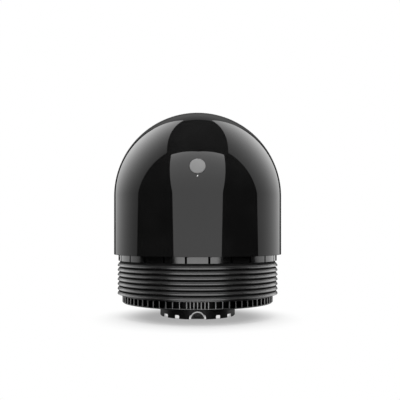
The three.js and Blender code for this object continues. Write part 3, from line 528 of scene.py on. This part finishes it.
boardFinish = {
    "coat": 0.3, "bump": 0.4, "bumpDepth": 0.03 * mm,
    "tracks": {
        "Scale": 260, "Mortar Size": 0.03, "Color1": (0.008, 0.075, 0.032, 1),
        "Color2": (0.007, 0.065, 0.028, 1), "Mortar": (0.02, 0.13, 0.055, 1),
    },
    "grain": {"Roughness": 0.4, "Roughness Spread": 0.1, "Scale": 2500.0},
}


def makeBoardMaterial():
    # Solder resist over copper tracks
    material, nodes, links, shader = newMaterial("circuitBoard", coat=boardFinish["coat"])
    place = nodes.new("ShaderNodeTexCoord").outputs["Object"]
    tracks = nodes.new("ShaderNodeTexBrick")
    for label, value in boardFinish["tracks"].items():
        tracks.inputs[label].default_value = value
    links.new(place, tracks.inputs["Vector"])
    links.new(tracks.outputs["Color"], shader.inputs["Base Color"])
    node = placeGroup(nodes, grain, boardFinish["grain"])
    links.new(node.outputs["Roughness"], shader.inputs["Roughness"])
    addBump(nodes, links, shader, tracks.outputs["Fac"], boardFinish["bump"], boardFinish["bumpDepth"])
    return material


lensFinish = {
    "colour": (0.9, 0.94, 0.96, 1), "second": (0.86, 0.92, 0.95, 1), "scale": 800, "cloudScale": 40,
    "rough": 0.02, "spread": 0.02,
}


def makeLensMaterial():
    material, nodes, links, shader = newMaterial("lensGlass", ior=1.52)
    shader.inputs["Transmission Weight"].default_value = 1
    addGrain(nodes, links, shader, **lensFinish)
    return material


# Pale lens of the status light; its faint glow is a painted highlight
lightFinishAndHighlight = {
    "glow": (0.9, 0.95, 1, 1), "glowStrength": 0.07,
    "grain": {
        "colour": grey(0.8), "second": grey(0.9), "scale": 3000, "cloudScale": 500,
        "rough": 0.25, "spread": 0.1,
    },
}


def makeLightMaterial():
    material, nodes, links, shader = newMaterial("statusLightAndHighlight")
    addGrain(nodes, links, shader, **lightFinishAndHighlight["grain"])
    # Painted highlight: a faint glow on the small lens
    shader.inputs["Emission Color"].default_value = lightFinishAndHighlight["glow"]
    shader.inputs["Emission Strength"].default_value = lightFinishAndHighlight["glowStrength"]
    return material


materials = {
    "dome": makeGrainMaterial(
        "domeGloss", colour=grey(0.008), second=grey(0.011), scale=2500, cloudScale=60,
        rough=0.025, spread=0.02,
    ),
    "housing": makeDeepMaterial("blackAnodised", housingFinishAndShade),
    "neck": makeDeepMaterial("neckAnodised", neckFinishAndShade),
    "vent": makeDeepMaterial("ventRibs", ventFinishAndShade),
    "cover": makeGrainMaterial(
        "moulded", colour=grey(0.012), second=grey(0.016), scale=3500, cloudScale=200,
        rough=0.45, spread=0.2, bump=0.25, bumpDepth=0.01 * mm,
    ),
    "seal": makeGrainMaterial(
        "sealRubber", colour=grey(0.012), second=grey(0.018), scale=2500, cloudScale=150,
        rough=0.8, spread=0.1, bump=0.3, bumpDepth=0.02 * mm,
    ),
    "steel": makeTurnedMaterial(
        "groundSteel", colour=grey(0.55), second=grey(0.48), rough=0.28,
        ringScale=16000, ringDepth=0.002 * mm,
    ),
    "alloy": makeTurnedMaterial(
        "turnedAlloy", colour=grey(0.62), second=grey(0.55), rough=0.38,
        ringScale=12000, ringDepth=0.004 * mm,
    ),
    "laminate": makeGrainMaterial(
        "coreSheet", metallic=1.0, colour=(0.11, 0.12, 0.13, 1), second=(0.16, 0.17, 0.18, 1), scale=3000,
        cloudScale=500, rough=0.45, spread=0.15, bump=0.2, bumpDepth=0.01 * mm,
    ),
    "winding": makeWindingMaterial(),
    "board": makeBoardMaterial(),
    "chip": makeGrainMaterial(
        "chipMould", colour=grey(0.012), second=grey(0.016), scale=5000, cloudScale=300,
        rough=0.55, spread=0.1, bump=0.3, bumpDepth=0.01 * mm,
    ),
    "ferrite": makeGrainMaterial(
        "ferrite", metallic=0.2, colour=grey(0.04), second=grey(0.055), scale=2500, cloudScale=350,
        rough=0.7, spread=0.15, bump=0.4, bumpDepth=0.02 * mm,
    ),
    "contact": makeGrainMaterial(
        "blackNickel", metallic=1.0, colour=grey(0.05), second=grey(0.04), scale=3000, cloudScale=300,
        rough=0.25, spread=0.1,
    ),
    "lens": makeLensMaterial(),
    "shell": makeGrainMaterial(
        "socketShell", metallic=1.0, colour=grey(0.6), second=grey(0.5), scale=3000, cloudScale=300,
        rough=0.3, spread=0.1,
    ),
    "window": makeGrainMaterial(
        "windowPlastic", colour=grey(0.275), second=grey(0.26), scale=4000, cloudScale=300,
        rough=0.35, spread=0.1, bump=0.1, bumpDepth=0.004 * mm,
    ),
    "light": makeLightMaterial(),
    "mirror": makeGrainMaterial(
        "mirrorCoat", metallic=1.0, colour=(0.9, 0.92, 0.93, 1), second=(0.88, 0.9, 0.92, 1), scale=2000,
        cloudScale=100, rough=0.02, spread=0.01,
    ),
}


def dressNodes():
    # Every node of the frame gets the material of its slot, also one that a piece replaces
    for entry in frame["record"]["subparts"]:
        node = frame["nodes"][entry["node"]]
        node.data.materials.clear()
        node.data.materials.append(materials[entry["material_slot"]])
    print("materials on", len(frame["nodes"]), "nodes")


# Dome

dome = {
    "radius": domeHigh.x, "wall": 1.2 * mm, "arcSteps": 48, "turnSteps": 192, "lip": 0.08 * mm,
    "windowRadius": 2.62 * mm, "windowElevation": 16, "windowDepth": 0.8 * mm, "windowGap": 0.06 * mm,
    "lightRadius": 0.2 * mm, "lightElevation": 9.7, "discShare": 0.75, "discRound": 0.12 * mm,
    "discRoundShare": 0.4, "discSteps": 96, "discArcSteps": 8,
    "bossCircle": 27.2 * mm, "bossRadius": 2.2 * mm, "bossHeight": 5 * mm, "bossBottom": 28 * mm,
    "bossAngles": evenAngles(3, 90), "webShare": 0.999, "screwRadius": 1.1 * mm, "screwDepth": 3.3 * mm,
}


def onDomeFront(bm, elevation):
    # Turns a mesh that points up Z to face the front, at an angle above the equator
    tilt = Matrix.Rotation(math.radians(90 - elevation), 4, "X")
    bmesh.ops.transform(bm, matrix=Matrix.Translation((0, 0, equatorZ)) @ tilt, verts=bm.verts)
    return bm


def addDome():
    outer, inner = dome["radius"], dome["radius"] - dome["wall"]
    outline = arcPoints(0, equatorZ, inner, 90, 0, dome["arcSteps"] // 2)
    outline[0] = (0, outline[0][1])
    outline += [(inner, domeLow.z), (outer, domeLow.z)]
    lip = [len(outline) - 2, len(outline) - 1]
    outline += arcPoints(0, equatorZ, outer, 0, 90, dome["arcSteps"])
    outline[-1] = (0, outline[-1][1])
    bm = turnedMesh(outline, dome["turnSteps"], [(lip, dome["lip"], 4)], onAxis=True)
    shell = newPiece("domeShell", bm)

    circle, angles = dome["bossCircle"], dome["bossAngles"]
    bottom, height = dome["bossBottom"], dome["bossHeight"]
    carve(shell, rodRing(dome["bossRadius"], bottom, bottom + height, circle, angles), "UNION")
    # A web joins each boss to the wall, a hair lower than the boss, so that their ends don't coincide
    web = outer - dome["wall"] / 2 - circle
    webSize = (web, dome["bossRadius"] * 2, height * dome["webShare"])
    webPlace = (web / 2, 0, bottom + height / 2)
    carve(shell, aroundAxis(lambda: blockMesh(webSize, webPlace), circle, angles), "UNION")
    holes = rodRing(dome["screwRadius"], bottom - mm, bottom + dome["screwDepth"], circle, angles, holeSteps)
    discs = (
        ("windowDisc", "front_window", "window", dome["windowRadius"], dome["windowElevation"]),
        ("statusLens", "status_light", "light", dome["lightRadius"], dome["lightElevation"]),
    )
    for *_, radius, elevation in discs:
        pocket = rodMesh(
            radius + dome["windowGap"], outer - dome["windowDepth"], outer + mm, dome["discSteps"],
        )
        addMesh(holes, onDomeFront(pocket, elevation))
    carve(shell, holes)
    reachSlack, leastMatch = 0.02 * mm, 0.99

    def normalAt(place, faceNormal):
        centre = Vector((0, 0, equatorZ))
        out = place - centre if place.z > equatorZ else Vector((place.x, place.y, 0))
        if abs(out.length - outer) < reachSlack and out.normalized().dot(faceNormal) > leastMatch:
            return out.normalized()
        return None

    trueNormals(shell, normalAt)
    finishPiece(shell, "head", ["dome_cover"], materials["dome"])

    discBack = outer - dome["windowDepth"] * dome["discShare"]
    for name, node, slotName, radius, elevation in discs:
        spread = math.degrees(math.asin(radius / outer))
        face = arcPoints(0, 0, outer, 90, 90 - spread, dome["discArcSteps"])
        face[0] = (0, face[0][1])
        rim = ([len(face) - 1], min(dome["discRound"], radius * dome["discRoundShare"]), 3)
        bm = turnedMesh(face + [(radius, discBack), (0, discBack)], dome["discSteps"], [rim], onAxis=True)
        disc = newPiece(name, onDomeFront(bm, elevation))
        finishPiece(disc, "head", [node], materials[slotName])
    print("dome, window and light made")


# Finned housing

housing = {
    "tipRadius": housingHigh.x, "finDepth": 0.85 * mm, "pitch": 1.708 * mm, "count": 7, "seat": 1.1 * mm,
    "firstRise": 0.45 * mm, "inner": 26.3 * mm, "footRadius": 28 * mm, "plate": 1.6 * mm,
    "shaftHole": 7.5 * mm, "turnSteps": 192, "crease": 50,
    "postRadius": 2.2 * mm, "postCircle": 20.6 * mm, "postAngles": evenAngles(4, 45),
    "standoffRadius": 1.8 * mm, "standoffCircle": 12 * mm, "standoffAngles": evenAngles(3, 90),
    "screwHole": 1.3 * mm, "smallHole": 1.1 * mm, "postHole": 6 * mm, "standoffHole": 3.3 * mm,
}


# A fin from its underside up, as (depth inside the tip, height over the tip's middle, rounding of that
# corner) in millimetres. The steps of its sloping side give each fin more than one line of light.
finProfile = [
    (0.85, -0.42, 0.04), (0.03, -0.24, 0.04), (0.0, -0.15, 0.04), (0.15, 0.3, 0.05), (0.36, 0.46, 0.05),
    (0.45, 0.78, 0.05), (0.85, 0.92, 0.04),
]


def addHousing():
    tip, top = housing["tipRadius"], housingHigh.z
    seat = gasketHigh.z + housing["seat"]
    outline = [(housing["inner"], seat), (housing["footRadius"], seat)]
    rounds = []
    for i in range(housing["count"]):
        z = seat + housing["firstRise"] + housing["pitch"] * i
        for depth, rise, rounding in finProfile:
            rounds.append(([len(outline)], rounding * mm, 3))
            outline.append((tip - depth * mm, z + rise * mm))
    plateBottom = top - housing["plate"]
    outline += [
        (tip - housing["finDepth"], top), (housing["shaftHole"], top),
        (housing["shaftHole"], plateBottom), (housing["inner"], plateBottom),
    ]
    crease = housing["crease"]
    piece = newPiece("finnedHousing", turnedMesh(outline, housing["turnSteps"], rounds), crease)

    post = housing["postCircle"], housing["postAngles"]
    standoff = housing["standoffCircle"], housing["standoffAngles"]
    posts = rodRing(housing["postRadius"], gasketLow.z, plateBottom + overlap, *post)
    addMesh(posts, rodRing(housing["standoffRadius"], boardHigh.z, plateBottom + overlap, *standoff))
    carve(piece, posts, "UNION", crease)
    postTop, standoffTop = gasketLow.z + housing["postHole"], boardHigh.z + housing["standoffHole"]
    holes = rodRing(housing["screwHole"], gasketLow.z - mm, postTop, *post, holeSteps)
    addMesh(holes, rodRing(housing["smallHole"], boardHigh.z - mm, standoffTop, *standoff, holeSteps))
    carve(piece, holes, creaseDegrees=crease)
    finishPiece(piece, "base", ["base_housing"], materials["housing"])
    print("housing made,", len(piece.data.polygons), "faces")


# Slotted neck ring under the dome's rim

neck = {
    "wall": 1.8 * mm, "slots": 24, "slotWidth": 0.75 * mm, "slotDepth": 1.1 * mm, "edge": 0.12 * mm,
    "turnSteps": 192,
}


def addNeck():
    outer, inner = neckHigh.x, neckHigh.x - neck["wall"]
    outline = [(inner, neckLow.z), (outer, neckLow.z), (outer, neckHigh.z), (inner, neckHigh.z)]
    piece = newPiece("neckRing", turnedMesh(outline, neck["turnSteps"], [([2], neck["edge"], 2)]))
    height = neckHigh.z - neckLow.z + 2 * mm
    depth = neck["slotDepth"] * 2
    slots = aroundAxis(
        lambda: blockMesh((depth, neck["slotWidth"], height), (0, 0, (neckLow.z + neckHigh.z) / 2)),
        outer, evenAngles(neck["slots"], 180 / neck["slots"]),
    )
    carve(piece, slots)
    trueNormals(piece, onCylinder(outer))
    finishPiece(piece, "base", ["neck_ring"], materials["neck"])
    print("neck made")


# Vent ring

vent = {
    "outer": ventHigh.x, "core": 25.9 * mm, "coreWall": 0.8 * mm, "rim": 0.4 * mm, "flangeInner": 23.2 * mm,
    "ribs": 72, "extraRibs": 3, "ribWidth": 0.45 * mm, "ribInset": 0.06 * mm, "ribRound": 0.1 * mm,
    "rimRound": 0.12 * mm, "lowRimRound": 0.19 * mm, "lowRimInset": 0.21 * mm, "turnSteps": 192,
}


def ribMesh():
    reach, inside = vent["outer"] - vent["ribInset"], vent["core"] - overlap
    low, high = ventLow.z + vent["rim"] / 2, ventHigh.z - vent["rim"] / 2
    slack = 0.01 * mm
    bm = blockMesh(
        (reach - inside, vent["ribWidth"], high - low), ((reach + inside) / 2, 0, (low + high) / 2),
    )
    upright = [
        e for e in bm.edges
        if all(v.co.x > reach - slack for v in e.verts) and abs(e.verts[0].co.y - e.verts[1].co.y) < slack
    ]
    bmesh.ops.bevel(
        bm, geom=upright, offset=vent["ribRound"], offset_type="OFFSET", segments=3, profile=0.5,
        affect="EDGES", material=-1,
    )
    return bm


def addVent():
    outer, core, inner = vent["outer"], vent["core"], vent["core"] - vent["coreWall"]
    lowOuter = outer - vent["lowRimInset"]
    low, high = ventLow.z, ventHigh.z
    lowRim, highRim = low + vent["rim"], high - vent["rim"]
    outline = [
        (inner, low), (lowOuter, low), (lowOuter, lowRim), (core, lowRim), (core, highRim),
        (outer, highRim), (outer, high), (vent["flangeInner"], high), (vent["flangeInner"], gasketHigh.z),
        (inner, gasketHigh.z),
    ]
    rounds = [([1, 2], vent["lowRimRound"], 4), ([5, 6], vent["rimRound"], 3)]
    bm = turnedMesh(outline, vent["turnSteps"], rounds)
    pitch = 360 / vent["ribs"]
    angles = evenAngles(vent["ribs"], pitch / 2)
    for i in range(vent["extraRibs"]):
        angles.append(math.radians(-90 + pitch * (i - (vent["extraRibs"] - 1) / 2)))
    addMesh(bm, aroundAxis(ribMesh, 0, angles))
    piece = newPiece("ventRing", bm)
    finishPiece(piece, "base", ["vent_ring"], materials["vent"])
    print("vent ring made,", len(angles), "ribs")


# Bottom cover with the slotted foot

foot = {
    "radius": 13.9 * mm, "wall": 1.2 * mm, "height": 5.1 * mm, "recess": 3.1 * mm, "edge": 0.4 * mm,
    "slotWidth": 1.5 * mm, "slotHeight": 1.35 * mm, "slotCorner": 0.35 * mm, "outerSlot": 11.47 * mm,
    "innerSlot": 7.3 * mm, "axisSlot": 2.71 * mm, "axisSlotShare": 0.5, "outlet": 3 * mm,
    "coverRadius": 24.8 * mm, "coverEdge": 0.15 * mm, "turnSteps": 192,
    "mountCircle": 20 * mm, "mountAngles": evenAngles(4, 0), "mountHole": 1.25 * mm, "mountDepth": 3.8 * mm,
    "bossRadius": 2.8 * mm, "bossGap": 0.6 * mm,
    "screwCircle": 20.6 * mm, "screwAngles": evenAngles(4, 45), "screwHead": 2.2 * mm,
    "screwShank": 1.3 * mm, "headHeight": 1 * mm, "sinkSteps": 32,
    "stemWidth": 5.6 * mm, "stemDepth": 2.6 * mm, "stemPlace": 11 * mm,
}


def addFoot():
    radius, inner, recess = foot["radius"], foot["radius"] - foot["wall"], foot["recess"]
    height, top = foot["height"], gasketLow.z
    outline = [
        (0, recess), (inner, recess), (inner, 0), (radius, 0),
        (radius, height), (foot["coverRadius"], height), (foot["coverRadius"], top), (0, top),
    ]
    rounds = [([2, 3], foot["edge"], 3), ([5], foot["coverEdge"], 2)]
    piece = newPiece("footCover", turnedMesh(outline, foot["turnSteps"], rounds, onAxis=True))

    mount = foot["mountCircle"], foot["mountAngles"]
    carve(piece, rodRing(foot["bossRadius"], top - overlap, boardLow.z - foot["bossGap"], *mount), "UNION")

    slotShape = slotOutline(foot["slotWidth"] / 2, -mm, foot["slotHeight"], foot["slotCorner"])
    past = radius + mm
    for places, fromY, toY, turn in (
        ((foot["innerSlot"], foot["outerSlot"]), -past, past, 0),
        ((foot["axisSlot"],), foot["axisSlotShare"] * radius, past, 0),
        ((foot["axisSlot"],), -past, past, 90),
    ):
        slots = bmesh.new()
        for place in places:
            for side in (-1, 1):
                addMesh(slots, runMesh([(x + side * place, z) for x, z in slotShape], fromY, toY))
        turned = Matrix.Rotation(math.radians(turn), 3, "Z")
        bmesh.ops.rotate(slots, verts=slots.verts, cent=(0, 0, 0), matrix=turned)
        carve(piece, slots)
    cuts = bmesh.new()
    addMesh(cuts, rodRing(foot["mountHole"], height - mm, height + foot["mountDepth"], *mount))
    sink = [
        (0, height - mm), (foot["screwHead"], height - mm), (foot["screwHead"], height),
        (foot["screwShank"], height + foot["headHeight"]), (foot["screwShank"], top + mm), (0, top + mm),
    ]
    addMesh(cuts, aroundAxis(
        lambda: turnedMesh(sink, foot["sinkSteps"], onAxis=True), foot["screwCircle"], foot["screwAngles"],
    ))
    carve(piece, cuts)
    carve(piece, runMesh(archOutline(foot["outlet"], -mm, 0), -past, -radius + foot["wall"] + mm))
    carve(piece, blockMesh(
        (foot["stemWidth"], foot["stemDepth"], top + 2 * mm), (0, -foot["stemPlace"], top / 2),
    ))
    aboveEdge = foot["edge"] * 1.01
    trueNormals(piece, onCylinder(radius, aboveEdge, height))
    finishPiece(piece, "base", ["bottom_cover"], materials["cover"])
    print("foot and cover made")


# Cover screws, countersunk, with hexagon sockets

coverScrew = {
    "count": 4, "head": 1.9 * mm, "headHeight": 1 * mm, "shank": 1 * mm, "edge": 0.08 * mm, "turnSteps": 48,
    "socket": 0.8 * mm, "socketDepth": 0.65 * mm, "socketSides": 6,
}


def addCoverScrews():
    for i in range(coverScrew["count"]):
        name = f"cover_screw_{i + 1}"
        low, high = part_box(name)
        place = (low + high) / 2
        circle, angle = math.hypot(place.x, place.y), math.atan2(place.y, place.x)
        outline = [
            (0, low.z), (coverScrew["head"], low.z), (coverScrew["shank"], low.z + coverScrew["headHeight"]),
            (coverScrew["shank"], high.z), (0, high.z),
        ]
        edges = [([1], coverScrew["edge"], 2)]
        body = aroundAxis(
            lambda: turnedMesh(outline, coverScrew["turnSteps"], edges, onAxis=True), circle, [angle],
        )
        piece = newPiece(f"coverScrew{i + 1}", body)
        socketTop = low.z + coverScrew["socketDepth"]
        carve(piece, rodRing(
            coverScrew["socket"], low.z - mm, socketTop, circle, [angle], coverScrew["socketSides"],
        ))
        finishPiece(piece, "base", [name], materials["steel"])
    print("cover screws made")


# Cable socket in the foot's outlet: a plastic body with a thin metal mouth

socket = {
    "radius": 2.65 * mm, "wall": 0.35 * mm, "lift": 0.15 * mm, "front": -13.5 * mm, "shellLength": 0.9 * mm,
    "shellGap": 0.02 * mm, "inset": 0.25 * mm, "back": -8.9 * mm, "mouthEnd": -10.3 * mm,
    "mouthEdge": 0.15 * mm, "block": 5 * mm, "blockFront": -9.2 * mm, "blockLength": 12 * mm,
    "stemPlace": -11 * mm, "stemDepth": 2 * mm,
}


def addSocket():
    radius, wall, lift, front = socket["radius"], socket["wall"], socket["lift"], socket["front"]
    shellEnd, recess = front + socket["shellLength"], foot["recess"]
    outer, inner = archOutline(radius, lift, lift), archOutline(radius - wall, lift, lift)
    body = newPiece("cableSocket", runMesh(outer, shellEnd + socket["shellGap"], socket["back"]))
    carve(body, runMesh(inner, front + socket["inset"], shellEnd + overlap), "UNION")
    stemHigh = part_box("cable_socket")[1]
    length = socket["blockLength"]
    carve(body, blockMesh(
        (socket["block"], length, recess - lift), (0, socket["blockFront"] + length / 2, (recess + lift) / 2),
    ), "UNION")
    carve(body, blockMesh(
        (socket["block"], socket["stemDepth"], stemHigh.z - recess + overlap),
        (0, socket["stemPlace"], (stemHigh.z + recess - overlap) / 2),
    ), "UNION")
    contactLow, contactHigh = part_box("socket_contacts")
    contacts, edges = contactHigh - contactLow, 2 * socket["mouthEdge"]
    carve(body, blockMesh(
        (contacts.x + edges, socket["mouthEnd"] - front, contacts.z + edges),
        (0, (socket["mouthEnd"] + front) / 2, (contactLow.z + contactHigh.z) / 2),
    ))
    finishPiece(body, "base", ["cable_socket"], materials["cover"])
    shell = newPiece("socketShell", runMesh(outer, front, shellEnd))
    carve(shell, runMesh(archOutline(radius - wall, -mm, lift), front - mm, shellEnd + mm))
    finishPiece(shell, "base", [], materials["shell"])
    print("socket made")


# Stage: floor, black surround and soft boxes

# The floor's glow under the foot is painted light, in place of the shade there
studio = {
    "floorSize": 6.0, "floorAlbedo": 0.32, "floorGlow": 0.37, "clearRadius": 16 * mm, "fadeRadius": 40 * mm,
    "fadePlace": -8 * mm, "insideRadius": 12.5 * mm, "insideFade": 1 * mm, "insideGlow": 0.72,
    "surround": 8.0,
}


def addStage():
    scene = bpy.context.scene
    world = bpy.data.worlds.new("world")
    world.use_nodes = True
    scene.world = world
    nodes, links = world.node_tree.nodes, world.node_tree.links
    back = nodes["Background"]
    back.inputs["Color"].default_value = grey(1)
    rays = nodes.new("ShaderNodeLightPath")
    seen = mathNode(nodes, links, "ADD", rays.outputs["Is Camera Ray"], rays.outputs["Is Glossy Ray"])
    seen = mathNode(nodes, links, "ADD", seen, rays.outputs["Is Transmission Ray"])
    links.new(mathNode(nodes, links, "MINIMUM", seen, 1), back.inputs["Strength"])

    bm = bmesh.new()
    bmesh.ops.create_grid(bm, x_segments=1, y_segments=1, size=studio["floorSize"] / 2)
    floor = newPiece("floor", bm)
    floor.data.materials.append(makeFloorMaterial())
    floor.visible_glossy = False

    bm = bmesh.new()
    bmesh.ops.create_cube(bm, size=studio["surround"])
    surround = newPiece("surround", bm)
    dark = bpy.data.materials.new("darkSurround")
    dark.use_nodes = True
    shader = dark.node_tree.nodes["Principled BSDF"]
    shader.inputs["Base Color"].default_value = grey(0)
    shader.inputs["Specular IOR Level"].default_value = 0
    surround.data.materials.append(dark)
    surround.visible_camera = False


def makeFloorMaterial():
    # A pale floor that keeps the shadow near the object and goes to the backdrop's white further out. Under
    # the foot it glows brighter, a painted light where there is shade.
    material = bpy.data.materials.new("paleFloor")
    material.use_nodes = True
    nodes, links = material.node_tree.nodes, material.node_tree.links
    nodes.remove(nodes["Principled BSDF"])
    place = nodes.new("ShaderNodeTexCoord").outputs["Object"]
    reaches = []
    for centre in ((0, studio["fadePlace"], 0), (0, 0, 0)):
        reach = nodes.new("ShaderNodeVectorMath")
        reach.operation = "DISTANCE"
        links.new(place, reach.inputs[0])
        reach.inputs[1].default_value = centre
        reaches.append(reach.outputs["Value"])
    far = mapNode(nodes, links, reaches[0], studio["clearRadius"], studio["fadeRadius"], 0, 1, smooth=True)
    # Painted light: inside the foot's ring the floor glows brighter, so that the foot's slots show pale
    inside = mapNode(
        nodes, links, reaches[1], studio["insideRadius"] - studio["insideFade"], studio["insideRadius"],
        studio["insideGlow"] - studio["floorGlow"], 0,
    )
    near = mathNode(nodes, links, "ADD", inside, studio["floorGlow"])
    glow = mapNode(nodes, links, far, 0, 1, near, 1.0)
    rays = nodes.new("ShaderNodeLightPath")
    emission = nodes.new("ShaderNodeEmission")
    seen = mathNode(nodes, links, "MULTIPLY", glow, rays.outputs["Is Camera Ray"])
    links.new(seen, emission.inputs["Strength"])
    diffuse = nodes.new("ShaderNodeBsdfDiffuse")
    shade = nodes.new("ShaderNodeCombineColor")
    albedo = mapNode(nodes, links, far, 0, 1, studio["floorAlbedo"], 0)
    for channel in ("Red", "Green", "Blue"):
        links.new(albedo, shade.inputs[channel])
    links.new(shade.outputs[0], diffuse.inputs["Color"])
    total = nodes.new("ShaderNodeAddShader")
    links.new(emission.outputs[0], total.inputs[0])
    links.new(diffuse.outputs[0], total.inputs[1])
    links.new(total.outputs[0], nodes["Material Output"].inputs["Surface"])
    return material


def direction(azimuth, elevation):
    # Seen from the dome's centre; azimuth 0 is the front, 90 is +X
    a, e = math.radians(azimuth), math.radians(elevation)
    return Vector((math.sin(a) * math.cos(e), -math.cos(a) * math.cos(e), math.sin(e)))


def pointAt(azimuth, elevation, normal, distance):
    # Where a direction meets the plane of a card
    ray = direction(azimuth, elevation)
    return ray * (distance / ray.dot(normal)) + Vector((0, 0, equatorZ))


def addCard(name, corners, facing, distance, makeStrength):
    # corners are (azimuth, elevation) seen from the dome's centre, facing is the same for the card's plane
    normal = direction(*facing)
    bm = bmesh.new()
    bm.faces.new([bm.verts.new(pointAt(*corner, normal, distance)) for corner in corners])
    card = newPiece(name, bm)
    material = bpy.data.materials.new(name)
    material.use_nodes = True
    nodes, links = material.node_tree.nodes, material.node_tree.links
    nodes.remove(nodes["Principled BSDF"])
    emission = nodes.new("ShaderNodeEmission")
    shift = nodes.new("ShaderNodeVectorMath")
    shift.operation = "SUBTRACT"
    links.new(nodes.new("ShaderNodeTexCoord").outputs["Object"], shift.inputs[0])
    shift.inputs[1].default_value = (0, 0, equatorZ)
    links.new(makeStrength(nodes, links, shift.outputs[0]), emission.inputs["Strength"])
    links.new(emission.outputs[0], nodes["Material Output"].inputs["Surface"])
    card.data.materials.append(material)
    card.visible_camera = False


def risingStrength(points):
    # Light by height above the dome's centre, in metres
    def makeStrength(nodes, links, place):
        split = nodes.new("ShaderNodeSeparateXYZ")
        links.new(place, split.inputs[0])
        low, high = points[0][0], points[-1][0]
        top = max(light for _, light in points)
        ramp = nodes.new("ShaderNodeFloatCurve")
        curve = ramp.mapping.curves[0]
        curve.points[0].location = (0, points[0][1] / top)
        curve.points[1].location = (1, points[-1][1] / top)
        for height, light in points[1:-1]:
            curve.points.new((height - low) / (high - low), light / top)
        ramp.mapping.update()
        links.new(mapNode(nodes, links, split.outputs["Z"], low, high, 0, 1), ramp.inputs["Value"])
        return mathNode(nodes, links, "MULTIPLY", ramp.outputs["Value"], top)
    return makeStrength


def spotStrength(azimuth, elevation, spread, floorLight, spotLight):
    # A soft bright spot on the card, seen from the dome's centre
    def makeStrength(nodes, links, place):
        aim = nodes.new("ShaderNodeVectorMath")
        aim.operation = "NORMALIZE"
        links.new(place, aim.inputs[0])
        match = nodes.new("ShaderNodeVectorMath")
        match.operation = "DOT_PRODUCT"
        links.new(aim.outputs[0], match.inputs[0])
        match.inputs[1].default_value = direction(azimuth, elevation)
        fall = mathNode(nodes, links, "SUBTRACT", match.outputs["Value"], 1)
        power = mathNode(nodes, links, "MULTIPLY", fall, 2 / math.radians(spread) ** 2)
        spot = mathNode(nodes, links, "MULTIPLY", mathNode(nodes, links, "EXPONENT", power), spotLight)
        return mathNode(nodes, links, "ADD", spot, floorLight)
    return makeStrength


# facing and corners are (azimuth, elevation), and each pair of light is (metres over the centre, strength)
frontBox = {
    "facing": (0, 21), "distance": 1.5,
    "corners": [
        (-24, -12), (24, -12), (28, -4.4), (31.2, -2.9), (50, 50), (0, 58), (-50, 50), (-31.2, -2.9),
        (-28, -4.4),
    ],
    "light": [
        (-0.4, 1.35), (0.4, 1.42), (0.61, 1.5), (0.8, 1.62), (1.02, 1.75), (1.2, 1.95), (1.5, 2.5),
        (1.75, 3.6),
    ],
}
# The left box mirrors the right one's corners, and each has its own bright spot
sideBoxes = {
    "facing": (115, 28), "distance": 1.6,
    "corners": [(104, -12), (150, -12), (149.5, 0), (154, 32), (166, 54), (61, 51), (87.5, -2.9), (95, -4.4)],
    "leftSpot": {"azimuth": -134, "elevation": 39, "spread": 36, "floorLight": 0.2, "spotLight": 2.3},
    "rightSpot": {"azimuth": 134, "elevation": 36, "spread": 34, "floorLight": 0.5, "spotLight": 1.8},
}
backPanel = {
    "facing": (180, 22), "distance": 2.2, "corners": [(157, -5), (203, -5), (203, 55), (157, 55)],
    "light": [(-0.1, 0.08), (0.9, 0.12), (1.6, 0.28), (2.0, 0.26), (2.6, 0.12), (3.1, 0.05)],
}
topFill = {"size": 0.5, "energy": 6, "place": (0, -0.15, 0.9), "tilt": -9}


def addLights():
    front, back = risingStrength(frontBox["light"]), risingStrength(backPanel["light"])
    addCard("frontBox", frontBox["corners"], frontBox["facing"], frontBox["distance"], front)
    for name, side, spot in (("leftBox", -1, "leftSpot"), ("rightBox", 1, "rightSpot")):
        corners = [(side * azimuth, elevation) for azimuth, elevation in sideBoxes["corners"]]
        facing = (side * sideBoxes["facing"][0], sideBoxes["facing"][1])
        addCard(name, corners, facing, sideBoxes["distance"], spotStrength(**sideBoxes[spot]))
    addCard("backPanel", backPanel["corners"], backPanel["facing"], backPanel["distance"], back)

    lamp = bpy.data.lights.new("topFill", "AREA")
    lamp.shape = "DISK"
    lamp.size = topFill["size"]
    lamp.energy = topFill["energy"]
    fill = bpy.data.objects.new("topFill", lamp)
    fill.location = topFill["place"]
    fill.rotation_euler = (math.radians(topFill["tilt"]), 0, 0)
    fill.visible_glossy = False
    fill.visible_camera = False
    bpy.context.scene.collection.objects.link(fill)
    print("stage and lights made")


addCamera()
dressNodes()
addDome()
addHousing()
addNeck()
addVent()
addFoot()
addCoverScrews()
addSocket()
addStage()
addLights()
